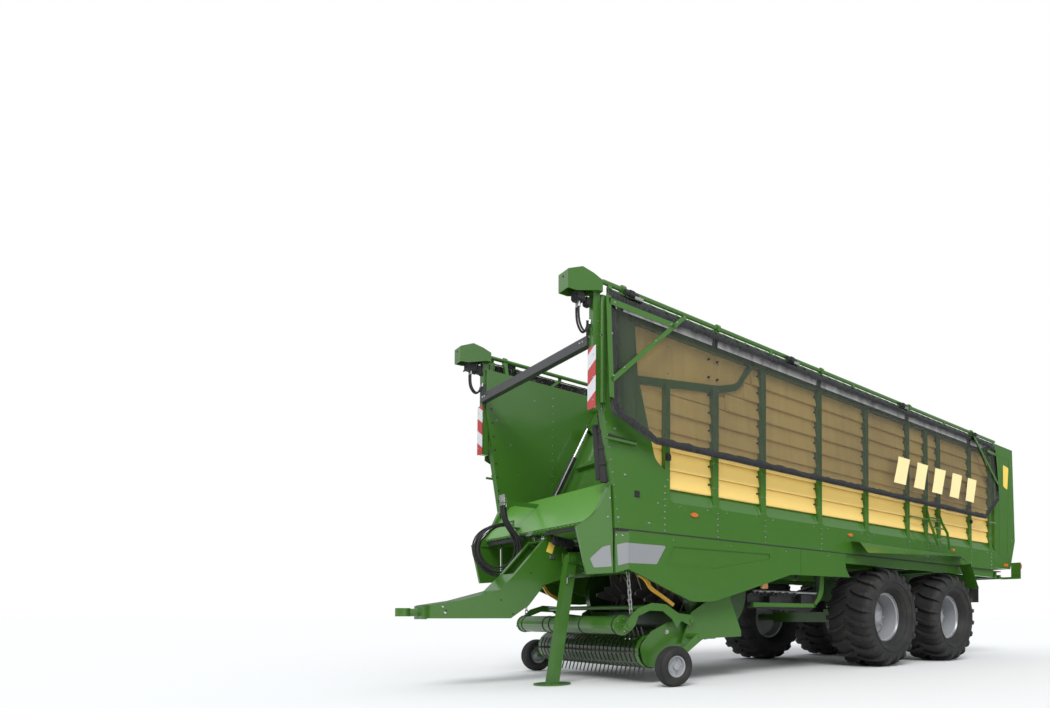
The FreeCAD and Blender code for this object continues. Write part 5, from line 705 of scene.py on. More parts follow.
class WAGON_OT_nets(bpy.types.Operator):
    """Nets that hang over the walls, with their hems, lacing and printed bars"""
    bl_idname = "wagon.nets"
    bl_label = "Nets"
    TOP_Z, LOW_Z = 3.73, 2.35
    FRONT_Y, REAR_Y = 0.082, 8.06
    FRONT_CUT, REAR_CUT = (0.49, 0.215), (0.56, 0.4)
    LACE_X, HEM_X, LACE_Z = 1.29, 1.385, 3.74
    LACE_STEP, LACE_RADIUS = 0.16, 0.003
    HEM_W = 0.07
    # printed bars: how many, the first one's front edge, the step to the next, width, slant and heights
    BARS, BAR_Y, BAR_STEP, BAR_WIDTH, BAR_SLANT, BAR_LOW, BAR_HIGH = 5, 4.72, 0.52, 0.3, 0.16, 2.58, 2.98
    # distance between the net's columns, how many fit, and the rows between its upper and lower edge
    GRID, COLUMNS, ROWS = 0.07, 114, 12

    def low(self, y):
        """Height of the lower edge at a place along the net."""
        cut, rise = self.FRONT_CUT
        if y < self.FRONT_Y + cut:
            return self.LOW_Z + rise * (1 - (y - self.FRONT_Y) / cut)
        cut, rise = self.REAR_CUT
        if y > self.REAR_Y - cut:
            return self.LOW_Z + rise * (1 - (self.REAR_Y - y) / cut)
        return self.LOW_Z

    def spot(self, side, y, z, lift=0.0):
        """Point on the hanging net, which leans out towards its hem and billows a little."""
        x = self.LACE_X + (self.LACE_Z - z) * (self.HEM_X - self.LACE_X) / (self.LACE_Z - self.LOW_Z)
        down = (self.TOP_Z - z) / (self.TOP_Z - self.LOW_Z)
        billow = 0.006 * math.sin(y * 4.1) * math.sin(down * math.pi) + 0.003 * math.sin(y * 13.0 + z * 5.0)
        return Vector((side * (x + billow + lift), y + POST_Y, z))

    def columns(self):
        marks = {self.FRONT_Y, self.REAR_Y, self.FRONT_Y + self.FRONT_CUT[0], self.REAR_Y - self.REAR_CUT[0]}
        marks |= {round(self.FRONT_Y + self.GRID * k, 4) for k in range(1, self.COLUMNS)}
        return sorted(marks)

    def sheet(self, side, body, name):
        """The net itself, as one smooth sheet."""
        kit = Piece(name, body)
        grid = []
        for y in self.columns():
            drop = self.low(y) - self.TOP_Z
            places = [self.spot(side, y, self.TOP_Z + drop * k / self.ROWS) for k in range(self.ROWS + 1)]
            grid.append([kit.bm.verts.new(place) for place in places])
        add_skin(kit.bm, grid, closed=False, caps=False)
        return kit.done("side_mesh", smooth=True)

    def band(self, side, body, name):
        """Hem all round the net: a strip that lies on its outer face and is drawn into ripples."""
        edge = [(y, self.low(y)) for y in self.columns()]
        line = [(self.FRONT_Y, self.TOP_Z - 0.04 * k) for k in range(29)] + edge
        line += [(self.REAR_Y, 2.75 + 0.04 * k) for k in range(1, 25)]
        line += [(self.REAR_Y - self.GRID * k, self.TOP_Z) for k in range(1, self.COLUMNS)]
        middle = Vector(((self.FRONT_Y + self.REAR_Y) / 2, (self.TOP_Z + self.LOW_Z) / 2))
        kit = Piece(name, body)
        rows = []
        count = len(line)
        chance = random.Random(7)
        for i in range(count):
            before, here, after = line[i - 1], line[i], line[(i + 1) % count]
            along = Vector((after[0] - before[0], after[1] - before[1])).normalized()
            inward = Vector((-along.y, along.x))
            if inward.dot(middle - Vector(here)) < 0:
                inward = -inward
            wide = self.HEM_W * (1.0 + 0.25 * chance.random())
            row = []
            for share, lift in ((0.0, 0.004), (0.35, 0.009), (0.7, 0.006), (1.0, 0.003)):
                y, z = here[0] + inward.x * wide * share, here[1] + inward.y * wide * share
                row.append(kit.bm.verts.new(self.spot(side, y, z, lift + 0.003 * chance.random())))
            rows.append(row)
        add_skin(kit.bm, rows + rows[:1], closed=False, caps=False)
        return kit.done("net_hem", smooth=True)

    def lacing(self, side, body, name):
        """Cord that winds round the thin rail and through the net's upper hem."""
        places = []
        turns = int((self.REAR_Y - self.FRONT_Y) / self.LACE_STEP)
        for k in range(turns * 6 + 1):
            turn = TURN * k / 6
            y = self.FRONT_Y + (self.REAR_Y - self.FRONT_Y) * k / (turns * 6)
            z = self.LACE_Z - 0.011 + 0.022 * math.cos(turn)
            places.append(Vector((side * (self.LACE_X + 0.012 * math.sin(turn)), y + POST_Y, z)))
        line, _ = curve_with(name, "POLY", places, self.LACE_RADIUS, 1)
        return ride(name, line, body, finish("hose_rubber"))

    def bars(self, side, body, name):
        """Plain slanting bars printed on the rear of the net."""
        kit = Piece(name, body)
        steps = 5
        for k in range(self.BARS):
            rows = []
            for n in range(steps + 1):
                y = self.BAR_Y + self.BAR_STEP * k + self.BAR_SLANT * n / steps
                z = self.BAR_LOW + (self.BAR_HIGH - self.BAR_LOW) * n / steps
                places = [self.spot(side, y + self.BAR_WIDTH * m / 3, z, 0.004) for m in range(4)]
                rows.append([kit.bm.verts.new(place) for place in places])
            add_skin(kit.bm, rows, closed=False, caps=False)
        return kit.done("bar_print", smooth=True)

    def execute(self, context):
        for side, hand in SIDES:
            body = "cover_" + hand
            net = self.sheet(side, body, "side_net_" + hand)
            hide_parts("net_" + hand)
            extras = [self.band(side, body, "net_hem_" + hand),
                      self.lacing(side, body, "net_lacing_" + hand),
                      self.bars(side, body, "net_bars_" + hand)]
        return {"FINISHED"}


class WAGON_OT_wheels(bpy.types.Operator):
    """Road wheels: tyres with slanting lugs, dished rims and nuts; and the small gauge wheels"""
    bl_idname = "wagon.wheels"
    bl_label = "Wheels"
    RADIUS = 0.68
    AXLES = (("front", 4.557), ("rear", 6.278))
    LUGS = 20
    TYRE_SIDES, RIM_SIDES = 84, 72
    # stations of a lug: out, crown, foot, lead round the tyre, half width
    LUG = ((0.012, 0.676, 0.628, 0.0, 0.015), (0.1, 0.678, 0.627, 0.085, 0.019),
           (0.2, 0.675, 0.624, 0.135, 0.023), (0.285, 0.662, 0.608, 0.16, 0.027),
           (0.337, 0.632, 0.575, 0.168, 0.029), (0.3545, 0.585, 0.54, 0.17, 0.026),
           (0.3545, 0.548, 0.525, 0.17, 0.018))
    TRACK = 1.12

    def casing(self):
        """Profile from the outer bead over the tread to the inner bead."""
        half = [(0.213, 0.336), (0.24, 0.352), (0.275, 0.372), (0.325, 0.42), (0.352, 0.49), (0.35, 0.545),
                (0.328, 0.592), (0.286, 0.62), (0.22, 0.631), (0.0, 0.637)]
        return rounded(half + [(-x, r) for x, r in reversed(half[:-1])], 1)

    def lug(self, bm, centre, side, half, turn):
        """One curved lug, from beside the tread's middle over the shoulder and down the sidewall."""
        rings = []
        for out, high, low, lead, wide in self.LUG:
            section = ((low, -1.25), (high, -1.0), (high, 1.0), (low, 1.25))
            angles = [turn + lead + share * wide / self.RADIUS for _, share in section]
            rings.append([bm.verts.new(round_about(centre, side, out * half, radius, angle))
                          for (radius, _), angle in zip(section, angles)])
        add_skin(bm, rings, closed=False)

    def nuts(self, bm, centre, side, count, height, radius, size):
        """Six-sided nuts spread round the dish."""
        for k in range(count):
            spot = round_about(centre, side, 0.016, radius, TURN * k / count)
            add_round(bm, spot, spot + Vector((side * height, 0, 0)), size, 6)

    def tyre(self, centre, side, name, body):
        kit = Piece("tread_" + name, body)
        spin(kit.bm, self.casing(), centre, self.TYRE_SIDES, side)
        for out, radius in ((0.3, 0.4), (0.345, 0.475)):        # rings moulded on the sidewall
            spin(kit.bm, [(out, radius - 0.006), (out + 0.01, radius - 0.002), (out + 0.01, radius + 0.004),
                          (out - 0.004, radius + 0.01)], centre, self.TYRE_SIDES, side)
        for k in range(self.LUGS):
            self.lug(kit.bm, centre, side, 1, TURN / self.LUGS * k)
            self.lug(kit.bm, centre, side, -1, TURN / self.LUGS * (k + 0.5))
        tyre = kit.done("tyre_rubber")
        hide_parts("tyre_" + name)

    def rim(self, centre, side, name, body):
        kit = Piece("dish_" + name, body)
        face = [(-0.213, 0.33), (-0.205, 0.3), (-0.06, 0.29), (-0.05, 0.125), (-0.02, 0.06)]
        dish = rounded([(-0.06, 0.296), (-0.03, 0.288), (0.004, 0.235), (0.018, 0.165), (0.022, 0.125)], 2)
        lip = [(0.214, 0.337), (0.226, 0.352), (0.22, 0.357), (0.208, 0.352), (0.204, 0.33), (0.186, 0.322),
               (0.18, 0.308), (0.12, 0.306), (0.02, 0.302)]
        hub = [(0.06, 0.124), (0.066, 0.118), (0.094, 0.078), (0.1, 0.07), (0.104, 0.03), (0.105, 0.002)]
        spin(kit.bm, lip[5:] + dish + hub + face[::-1] + [(0.176, 0.33)], centre, self.RIM_SIDES, side)
        self.nuts(kit.bm, centre, side, 10, 0.026, 0.19, 0.014)
        rim = kit.done("rim_paint", smooth=True)
        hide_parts("rim_" + name)
        split_edges(rim)
        kit = Piece("flange_" + name, body)
        spin(kit.bm, lip[:6] + [(0.184, 0.332)], centre, self.RIM_SIDES, side)
        split_edges(kit.done("flange_steel", smooth=True))

    def gauge(self, side, hand):
        centre = at(side * 1.402, 0.795, 0.198)
        body = "gauge_wheel_" + hand
        kit = Piece("gauge_tread", body, side)
        half = [(0.046, 0.104), (0.066, 0.118), (0.073, 0.15), (0.062, 0.182), (0.046, 0.192), (0.038, 0.184),
                (0.03, 0.198), (0.012, 0.198), (0.006, 0.188)]
        spin(kit.bm, half + [(-x, r) for x, r in reversed(half)], centre, 48, side)
        tyre = kit.done("tyre_rubber", smooth=True)
        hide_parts("gauge_tyre_" + hand)
        kit = Piece("gauge_dish", body, side)
        profile = [(-0.044, 0.102), (0.044, 0.102), (0.049, 0.108), (0.044, 0.092), (0.02, 0.088),
                   (0.016, 0.06), (0.024, 0.034), (0.046, 0.032), (0.047, 0.002), (-0.04, 0.002),
                   (-0.042, 0.03), (-0.01, 0.08)]
        spin(kit.bm, profile, centre, 40, side)
        self.nuts(kit.bm, centre, side, 5, 0.012, 0.07, 0.008)
        rim = kit.done("rim_paint", smooth=True)
        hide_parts("gauge_rim_" + hand)
        split_edges(rim)

    def execute(self, context):
        for end, y in self.AXLES:
            for side, hand in SIDES:
                name, centre = end + "_" + hand, at(side * self.TRACK, y, self.RADIUS)
                self.tyre(centre, side, name, "wheel_" + name)
                self.rim(centre, side, name, "wheel_" + name)
        for side, hand in SIDES:
            self.gauge(side, hand)
        return {"FINISHED"}


class WAGON_OT_walls(bpy.types.Operator):
    """Bolts, studs, seams, markers and small fittings of the two side walls"""
    bl_idname = "wagon.walls"
    bl_label = "Side walls"
    SILL_LOW, SILL_FOLD, SILL_TOP = 1.52, 1.84, 1.98
    STUD_STEP = 0.195

    def bolts(self, side):
        """Round heads up the ribs, on the sill and down the front edge."""
        kit = Piece("wall_bolts", "root", side)
        radius = sizes().bolt_r
        for y in RIBS_Y:
            thin = y == RIBS_Y[0]
            column = y + (-0.034 if thin else 0.03)
            z = self.SILL_LOW + 0.02
            while z < (2.05 if thin else self.SILL_FOLD + 0.01):
                kit.bolt((WALL_X, column, z), radius * 1.15)
                z += 0.064
            z = 2.06
            while z < 3.45:
                for shift in (0.0,) if thin else (-0.028, 0.028):
                    kit.bolt((WALL_X, y + shift, z), radius)
                z += 0.27
            for shift in (-0.12, 0.16):
                kit.bolt((WALL_X, y + shift, 1.81), radius)
        for y, z in ((0.201, 2.455), (0.315, 2.035), (0.245, 1.62), (0.6, 1.6), (0.05, 3.3), (0.06, 2.62)):
            kit.bolt((WALL_X, y, z), 0.014)
        z = 1.58
        while z < 3.5:
            kit.bolt((WALL_X, max(0.016, 0.016 + (3.1 - z) * 0.155), z), radius * 0.7)
            z += 0.115
        kit.done("bright_steel")

    def studs(self, side):
        """Black studs that hold the boards, beside each rib."""
        kit = Piece("board_studs", "root", side)
        for y in RIBS_Y[1:]:
            for k in range(8):
                z = 2.1 + self.STUD_STEP * k
                for shift in (-0.062, 0.062):
                    kit.bar((1.189, y + shift, z), (1.216, y + shift, z), 0.013, 8, 0.01)
        kit.done("black_plastic")

    def seams(self, side):
        """Folded feet of the ribs on the sill, and the dark joint under the wall."""
        kit = Piece("rib_feet", "root", side)
        for y in RIBS_Y:
            half = 0.03 if y == RIBS_Y[0] else 0.04
            a, b = at(side * 1.189, y - half, self.SILL_TOP), at(side * 1.189, y + half, self.SILL_TOP)
            c = at(side * 1.2515, y + half + 0.045, self.SILL_FOLD + 0.002)
            d = at(side * 1.2515, y - half - 0.045, self.SILL_FOLD + 0.002)
            low = at(side * 1.2515, y, self.SILL_FOLD - 0.085)
            top = kit.bm.verts.new(at(side * 1.254, y, self.SILL_FOLD + 0.03))
            ring = [kit.bm.verts.new(v) for v in (a, b, c, low, d)]
            for i in range(5):
                kit.bm.faces.new((ring[i], ring[(i + 1) % 5], top))
            kit.bm.faces.new(list(reversed(ring)))
        kit.done("green_paint")
        kit = Piece("sill_joint", "root", side)
        kit.box((1.2485, 0.24, 1.508), (1.2515, 8.05, 1.522))
        kit.box((1.24, 0.2, 1.497), (1.2495, 3.8, 1.509))
        kit.done("black_plastic")

    def fittings(self, side):
        """Black plates, a pointed rod with its clips, and the oval side markers."""
        kit = Piece("wall_fittings", "root", side)
        kit.box((1.249, 0.428, 1.836), (1.254, 0.49, 1.902), 0.0015)
        for y in (0.445, 0.473):
            for z in (1.853, 1.885):
                kit.box((1.253, y - 0.009, z - 0.011), (1.259, y + 0.009, z + 0.011), 0.002)
        start, end = at(side * 1.262, 0.125, 2.372), at(side * 1.262, 0.452, 2.352)
        kit.bar(start, start.lerp(end, 0.93), 0.019, 14, 0.016)
        kit.bar(start.lerp(end, 0.93), end, 0.016, 14, 0.006)
        for share in (0.05, 0.5, 0.9):
            spot = start.lerp(end, share)
            kit.box(spot + Vector((-0.014, -0.012, -0.021)), spot + Vector((0.01, 0.012, 0.021)), 0.004)
        for y in (0.827, 7.213):
            kit.box((1.252, y - 0.03, 2.262), (1.262, y + 0.03, 2.33), 0.003)
        kit.done("black_plastic")
        kit = Piece("side_markers", "root", side)
        for y, z in ((1.173, 1.743), (3.857, 1.769), (6.612, 1.766)):
            outline = [(y + 0.048 * math.cos(t * math.pi / 8),
                        z + 0.023 * math.sin(t * math.pi / 8)) for t in range(16)]
            kit.plate([(1.2505, *spot) for spot in outline], 0.012)
            for shift in (-0.052, 0.052):
                kit.bolt((1.2505, y + shift, z), 0.006)
        kit.done("orange_lens")

    def execute(self, context):
        for side, _ in SIDES:
            self.bolts(side)
            self.studs(side)
            self.seams(side)
            self.fittings(side)
        return {"FINISHED"}


class WAGON_OT_boards(bpy.types.Operator):
    """Lapped yellow boards between the ribs, each standing out over the one below"""
    bl_idname = "wagon.boards"
    bl_label = "Boards"
    FACE_X, LOW_Z, STEP, COUNT = 1.1895, 1.98, 0.195, 8
    LAP = ((0.0, 0.0005), (0.001, 0.027), (0.014, 0.032), (0.034, 0.028), (0.11, 0.012), (0.192, 0.0015))
    TOP_LINE = ((0.459, 3.038), (1.56, 3.206), (1.83, 3.3), (2.04, 3.6))
    BAND = 0.08

    def ceiling(self, y):
        """Lower edge of the smooth upper panel's band, over the boards."""
        points = self.TOP_LINE
        for (y0, z0), (y1, z1) in zip(points, points[1:]):
            if y0 <= y <= y1:
                return z0 + (z1 - z0) * (y - y0) / (y1 - y0) - self.BAND - 0.004
        return 9.0

    def execute(self, context):
        for side, _ in SIDES:
            kit = Piece("lapped_boards", "root", side)
            for before, behind in zip(RIBS_Y, RIBS_Y[1:]):
                start, end = before + (0.03 if before == RIBS_Y[0] else 0.04), behind - 0.04
                for k in range(self.COUNT):
                    base = self.LOW_Z + self.STEP * k
                    stop = end
                    while stop > start and min(self.ceiling(start), self.ceiling(stop)) < base + self.STEP:
                        stop -= 0.02
                    first = start
                    if stop <= start + 0.05:
                        first, stop = start, end
                        while first < end and self.ceiling(first) < base + self.STEP:
                            first += 0.02
                        if first >= end - 0.05:
                            continue
                    rows = [[kit.bm.verts.new(kit.place((self.FACE_X + out, y, base + up))) for up, out in self.LAP]
                            for y in (first + 0.002, stop - 0.002)]
                    add_skin(kit.bm, rows, closed=False, caps=False)
                    for row in rows:
                        back = kit.bm.verts.new(at(side * self.FACE_X, row[0].co.y - POST_Y,
                                                   base + self.LAP[-1][0]))
                        kit.bm.faces.new(row + [back])
            kit.done("board_paint")
        return {"FINISHED"}


class WAGON_OT_skirts(bpy.types.Operator):
    """Silver insets and screws of the folded skirts"""
    bl_idname = "wagon.skirts"
    bl_label = "Skirts"
    FOLD_Y, FOLD = 0.37, math.radians(-8.6)
    GAP = 0.0015                    # round the insets
    NOSE = ((-0.024, 1.22, 0.015), (0.016, 1.135, 0.015), (0.196, 1.154, 0.012), (0.179, 1.359, 0.012),
            (0.102, 1.337, 0.015))
    FRONT = ((0.244, 1.366, 0.006), (0.335, 1.391, 0.006), (0.3695, 1.391), (0.3695, 1.196),
             (0.258, 1.166, 0.006))
    BELLY = ((0.3705, 1.391), (0.815, 1.394, 0.015), (0.7, 1.201, 0.015), (0.3705, 1.196))

    def spot(self, side, depth, y, z):
        """Place on the skirt, which is folded inwards ahead of its fold line."""
        dx, dy = depth, y - self.FOLD_Y
        if dy < 0:
            dx, dy = (dx * math.cos(self.FOLD) - dy * math.sin(self.FOLD),
                      dx * math.sin(self.FOLD) + dy * math.cos(self.FOLD))
        return at(side * (WALL_X + dx), self.FOLD_Y + dy, z)

    def execute(self, context):
        for side, _ in SIDES:
            kit = Piece("skirt_insets", "root", side)
            for outline in (self.NOSE, self.FRONT, self.BELLY):
                centre = sum((Vector(point[:2]) for point in outline), Vector((0, 0))) / len(outline)
                corners = [Vector(point) for point in round_corners(outline)]
                corners = [point + (centre - point).normalized() * self.GAP for point in corners]
                add_skin(kit.bm, [[kit.bm.verts.new(self.spot(side, depth, *corner)) for corner in corners]
                                  for depth in (-0.004, -0.0012)])
            kit.done("inset_silver")
            kit = Piece("skirt_screws", "root", side)
            for y, z in ((0.235, 1.455), (0.3, 1.455), (0.9, 1.455), (1.7, 1.458), (2.6, 1.462),
                         (3.4, 1.463), (0.15, 1.62), (0.17, 1.8)):
                face = (side, -0.15 if y < self.FOLD_Y else 0.0, 0)
                kit.bolt(self.spot(side, 0.0, y, z), 0.008, face)
            kit.done("bright_steel")
        return {"FINISHED"}


class WAGON_OT_covers(bpy.types.Operator):
    """End braces, bolts, clamps and clips of the hinged net frames"""
    bl_idname = "wagon.covers"
    bl_label = "Net frames"
    BRACE_X = 1.318
    LEAN = 0.068
    STRUTS = (((0.08, 2.85), (0.96, 3.725)), ((0.076, 3.61), (0.85, 3.61), 0.06),
              ((0.076, 3.66), (0.076, 2.69), 0.05), ((7.23, 3.72), (8.06, 2.98), 0.05),
              ((7.69, 3.56), (8.06, 3.545), 0.045), ((8.044, 3.66), (8.044, 2.9), 0.045))

    def strut(self, kit, start, end, width=0.042):
        """Angle section between two places on the net frame, outside the leaning net."""
        a, b = Vector(start), Vector(end)
        along = (b - a).normalized()
        across = Vector((-along.y, along.x)) * width / 2
        corners = [a - across, b - across, b + across, a + across]
        kit.plate([(self.out(z), y, z) for y, z in corners], 0.006)
        rim = [a + across, b + across, b + across * 0.8, a + across * 0.8]
        kit.plate([(self.out(z) - 0.018, y, z) for y, z in rim], 0.021)

    def out(self, z):
        """How far out the braces stand at a height."""
        return self.BRACE_X + self.LEAN * (3.74 - z)

    def execute(self, context):
        for side, hand in SIDES:
            body = "cover_" + hand
            kit = Piece("net_braces", body, side)
            for start, end, *width in self.STRUTS:
                self.strut(kit, start, end, *width)
            kit.done("green_paint")
            kit = Piece("brace_bolts", body, side)
            for y, z in ((0.1, 2.9), (0.22, 3.01), (0.88, 3.66), (0.8, 3.61), (0.14, 3.61), (7.32, 3.65),
                         (7.98, 3.06), (7.76, 3.556), (0.1, 3.3), (0.6, 3.38)):
                kit.bolt((self.out(z) + 0.006, y, z), 0.01)
            kit.done("bright_steel")
            kit = Piece("net_clamps", body, side)
            for y in (0.34, 2.63, 5.06, 7.27):
                spot = at(side * 1.305, y, 3.765)
                kit.box(spot + Vector((-0.032, -0.034, -0.03)), spot + Vector((0.032, 0.034, 0.03)), 0.008)
                kit.bar(spot + Vector((0, -0.075, 0.0)), spot + Vector((0, 0.075, 0.0)), 0.026, 14)
            kit.done("black_plastic")
            kit = Piece("net_clips", body, side)
            for y in (0.42, 2.71, 5.14, 7.35):
                spot = at(side * 1.312, y, 3.748)
                kit.box(spot + Vector((-0.008, -0.05, -0.022)), spot + Vector((0.016, 0.05, 0.01)), 0.003)
            kit.done("bright_steel")
        return {"FINISHED"}


class WAGON_OT_front(bpy.types.Operator):
    """Valves, short hoses, bolts, board holders and ducts at the wagon's front"""
    bl_idname = "wagon.front"
    bl_label = "Front fittings"

    def tube(self, name, points, side, radius=0.01, sides=10):
        """A short fixed hose along a smooth line, as a closed swept mesh."""
        kit = Piece(name, "root", side)
        line = [Vector(p) for p in rounded([tuple(kit.place(p)) for p in points])]
        rings = []
        for i, here in enumerate(line):
            along = (line[min(i + 1, len(line) - 1)] - line[max(i - 1, 0)]).normalized()
            across = along.cross(Vector((1, 0, 0))).normalized()
            other = along.cross(across).normalized()
            turns = [TURN * k / sides for k in range(sides)]
            rings.append([kit.bm.verts.new(here + across * radius * math.cos(turn) + other * radius * math.sin(turn))
                          for turn in turns])
        add_skin(kit.bm, rings)
        kit.done("hose_rubber", smooth=True)

    def ducts(self):
        """Two ducts that run down inside the left front corner; the wider one is ribbed."""
        kit = Piece("front_ducts", "root", 1)
        kit.bar((1.135, 0.135, 2.64), (1.125, 0.178, 1.96), 0.045, 18)
        kit.bar((1.07, 0.11, 2.5), (1.06, 0.16, 1.99), 0.036, 18)
        for z in (2.6, 2.45, 2.3, 2.15):
            y = 0.137 + (2.6 - z) * 0.06
            kit.bar((1.134, y, z), (1.133, y + 0.002, z - 0.03), 0.05, 18)
        kit.done("black_plastic")

    def execute(self, context):
        for side, _ in SIDES:
            kit = Piece("motor_valve", "root", side)
            kit.box((1.15, -0.215, 3.555), (1.262, -0.12, 3.64), 0.012)
            kit.box((1.165, -0.105, 3.54), (1.235, -0.045, 3.625), 0.01)
            kit.bar((1.205, -0.3195, 3.735), (1.205, -0.312, 3.735), 0.012, 12)
            kit.done("black_plastic")
            for k, x in enumerate((1.185, 1.225)):
                path = [(x, -0.168, 3.56), (x, -0.175, 3.47), (x, -0.165, 3.36), (x - 0.01, -0.11, 3.29),
                        (x - 0.02, -0.062, 3.335), (x - 0.02, -0.045, 3.4)]
                self.tube("motor_hose_%d" % (k + 1), path, side)
            kit = Piece("hose_sleeves", "root", side)
            for x in (1.185, 1.225):
                kit.bar((x, -0.169, 3.505), (x, -0.168, 3.56), 0.0135, 12)
                kit.bar((x - 0.02, -0.045, 3.385), (x - 0.02, -0.04, 3.425), 0.0135, 12)
            kit.done("bright_steel")
            kit = Piece("crossbar_bolts", "root", side)
            for z in (3.415, 3.36, 3.28):
                kit.bar((1.172, -0.034, z), (1.182, -0.034, z), 0.012, 12)
            for x in (1.06, 1.11):
                kit.bolt((x, -0.062, 3.245), 0.011, (0, -1, 0))
            kit.done("zinc_steel")
            kit = Piece("board_holders", "root", side)
            for z in (2.67, 2.88, 3.09):
                kit.bolt((1.265, -0.0405, z), 0.007, (0, -1, 0))
            kit.box((1.17, -0.036, 2.72), (1.29, -0.03, 2.76), 0.002)
            kit.box((1.17, -0.036, 3.0), (1.29, -0.03, 3.04), 0.002)
            kit.done("bright_steel")
            if side > 0:
                self.ducts()
        return {"FINISHED"}


class WAGON_OT_lining(bpy.types.Operator):
    """Bolts on the inner faces of the side walls, and black discs painted as the shade in holes there"""
    bl_idname = "wagon.lining"
    bl_label = "Wall lining"
    INNER_X = 1.15

    def execute(self, context):
        for side, _ in SIDES:
            kit = Piece("lining_bolts", "root", side)
            inward = (-side, 0, 0)
            for k in range(14):
                kit.bolt((self.INNER_X, 0.85, 2.15 + 0.1 * k), 0.007, inward)
            for y, z in ((0.16, 3.35), (0.6, 3.36), (0.3, 2.75), (0.42, 2.4), (1.3, 3.3), (1.25, 2.45),
                         (0.12, 3.02), (0.25, 2.1)):
                kit.bolt((self.INNER_X, y, z), 0.008, inward)
            kit.done("bright_steel")
            # painted shade: flat black discs on the inner wall stand in for the shade inside holes
            kit = Piece("lining_hole_shades", "root", side)
            for k in range(9):
                z = 3.3 - 0.16 * k
                y = 0.045 + (3.3 - z) * 0.1
                kit.bar((self.INNER_X, y, z), (self.INNER_X - 0.002, y, z), 0.011, 12)
            kit.done("black_plastic")
        return {"FINISHED"}


class WAGON_OT_rear(bpy.types.Operator):
    """Lamps, reflectors, blank labels, bolts and ribs at the tailgate"""
    bl_idname = "wagon.rear"
    bl_label = "Rear fittings"
    BACK = ((1.58, 8.738), (2.09, 8.948), (3.784, 8.865))
    RIBS_X = (-1.02, -0.52, 0.0, 0.52, 1.02)

    def execute(self, context):
        for side, _ in SIDES:
            kit = Piece("blank_label", "tailgate", side)
            outline = round_corners(((8.475, 3.06, 0.03), (8.64, 3.02, 0.03), (8.7, 3.43, 0.03),
                                     (8.475, 3.455, 0.03)))
            kit.plate([(1.2502, *spot) for spot in outline], 0.0012)
            kit.done("sticker_yellow")
            kit = Piece("gate_reflector", "tailgate", side)
            kit.box((1.25, 8.47, 1.6), (1.258, 8.64, 1.655), 0.004)
            kit.done("orange_lens")
            kit = Piece("gate_bolts", "tailgate", side)
            for z in (1.75, 2.1, 2.45, 2.8, 3.15, 3.5):
                for y in (8.135, 8.8):
                    kit.bolt((1.25, y, z), 0.008)
            kit.done("bright_steel")
            kit = Piece("gate_groove", "tailgate", side)
            outline = round_corners(((8.3, 1.8, 0.03), (8.62, 1.8, 0.03), (8.72, 3.6, 0.03),
                                     (8.3, 3.6, 0.03)))
            ring = [at(side * 1.25, *spot) for spot in outline]
            centre = sum(ring, Vector()) / len(ring)
            for a, b in zip(ring, ring[1:] + ring[:1]):
                inner = [a.lerp(centre, 0.02), b.lerp(centre, 0.02)]
                kit.plate([a, b, inner[1], inner[0]], 0.0025)
            kit.done("green_paint")
            kit = Piece("rear_lamp_lenses", "root", side)
            for x in (1.3, 1.36, 1.42):
                kit.bar((x, 8.76, 1.605), (x, 8.768, 1.605), 0.024, 20)
            kit.done("orange_lens")
        self.gate()
        return {"FINISHED"}

    def back(self, z):
        """Rear face of the tailgate at a height."""
        line = self.BACK
        for (z0, y0), (z1, y1) in zip(line, line[1:]):
            if z0 <= z <= z1:
                return y0 + (y1 - y0) * (z - z0) / (z1 - z0)
        return line[-1][1]

    def gate(self):
        """Pressed ribs, latches, reflectors and a blank plate on the rear face."""
        kit = Piece("gate_ribs", "tailgate")
        for x in self.RIBS_X:
            section = ((-0.045, 0.0), (-0.03, 0.014), (0.03, 0.014), (0.045, 0.0))
            add_skin(kit.bm, [[kit.bm.verts.new(at(x + dx, self.back(z) + dy, z)) for dx, dy in section]
                              for z in (1.64, 1.85, 2.09, 2.6, 3.1, 3.72)])
        for z in (2.1, 3.68):
            y = self.back(z)
            kit.box((-1.2, y - 0.004, z - 0.035), (1.2, y + 0.012, z + 0.035), 0.004)
        kit.done("green_paint")
        kit = Piece("gate_rib_bolts", "tailgate")
        for x in self.RIBS_X:
            for k in range(9):
                z = 1.72 + 0.235 * k
                kit.bolt((x, self.back(z) + 0.013, z), 0.008, (0, 1, 0.05))
        kit.done("bright_steel")
        kit = Piece("plate_holder", "tailgate")
        y = self.back(1.9)
        kit.box((-0.26, y + 0.002, 1.845), (0.26, y + 0.016, 1.955), 0.005)
        kit.done("black_plastic")
        kit = Piece("gate_rear_reflectors", "tailgate")
        for side in (1, -1):
            y = self.back(1.86)
            kit.box((side * 0.7, y, 1.83), (side * 0.84, y + 0.012, 1.89), 0.004)
        kit.done("red_lens")


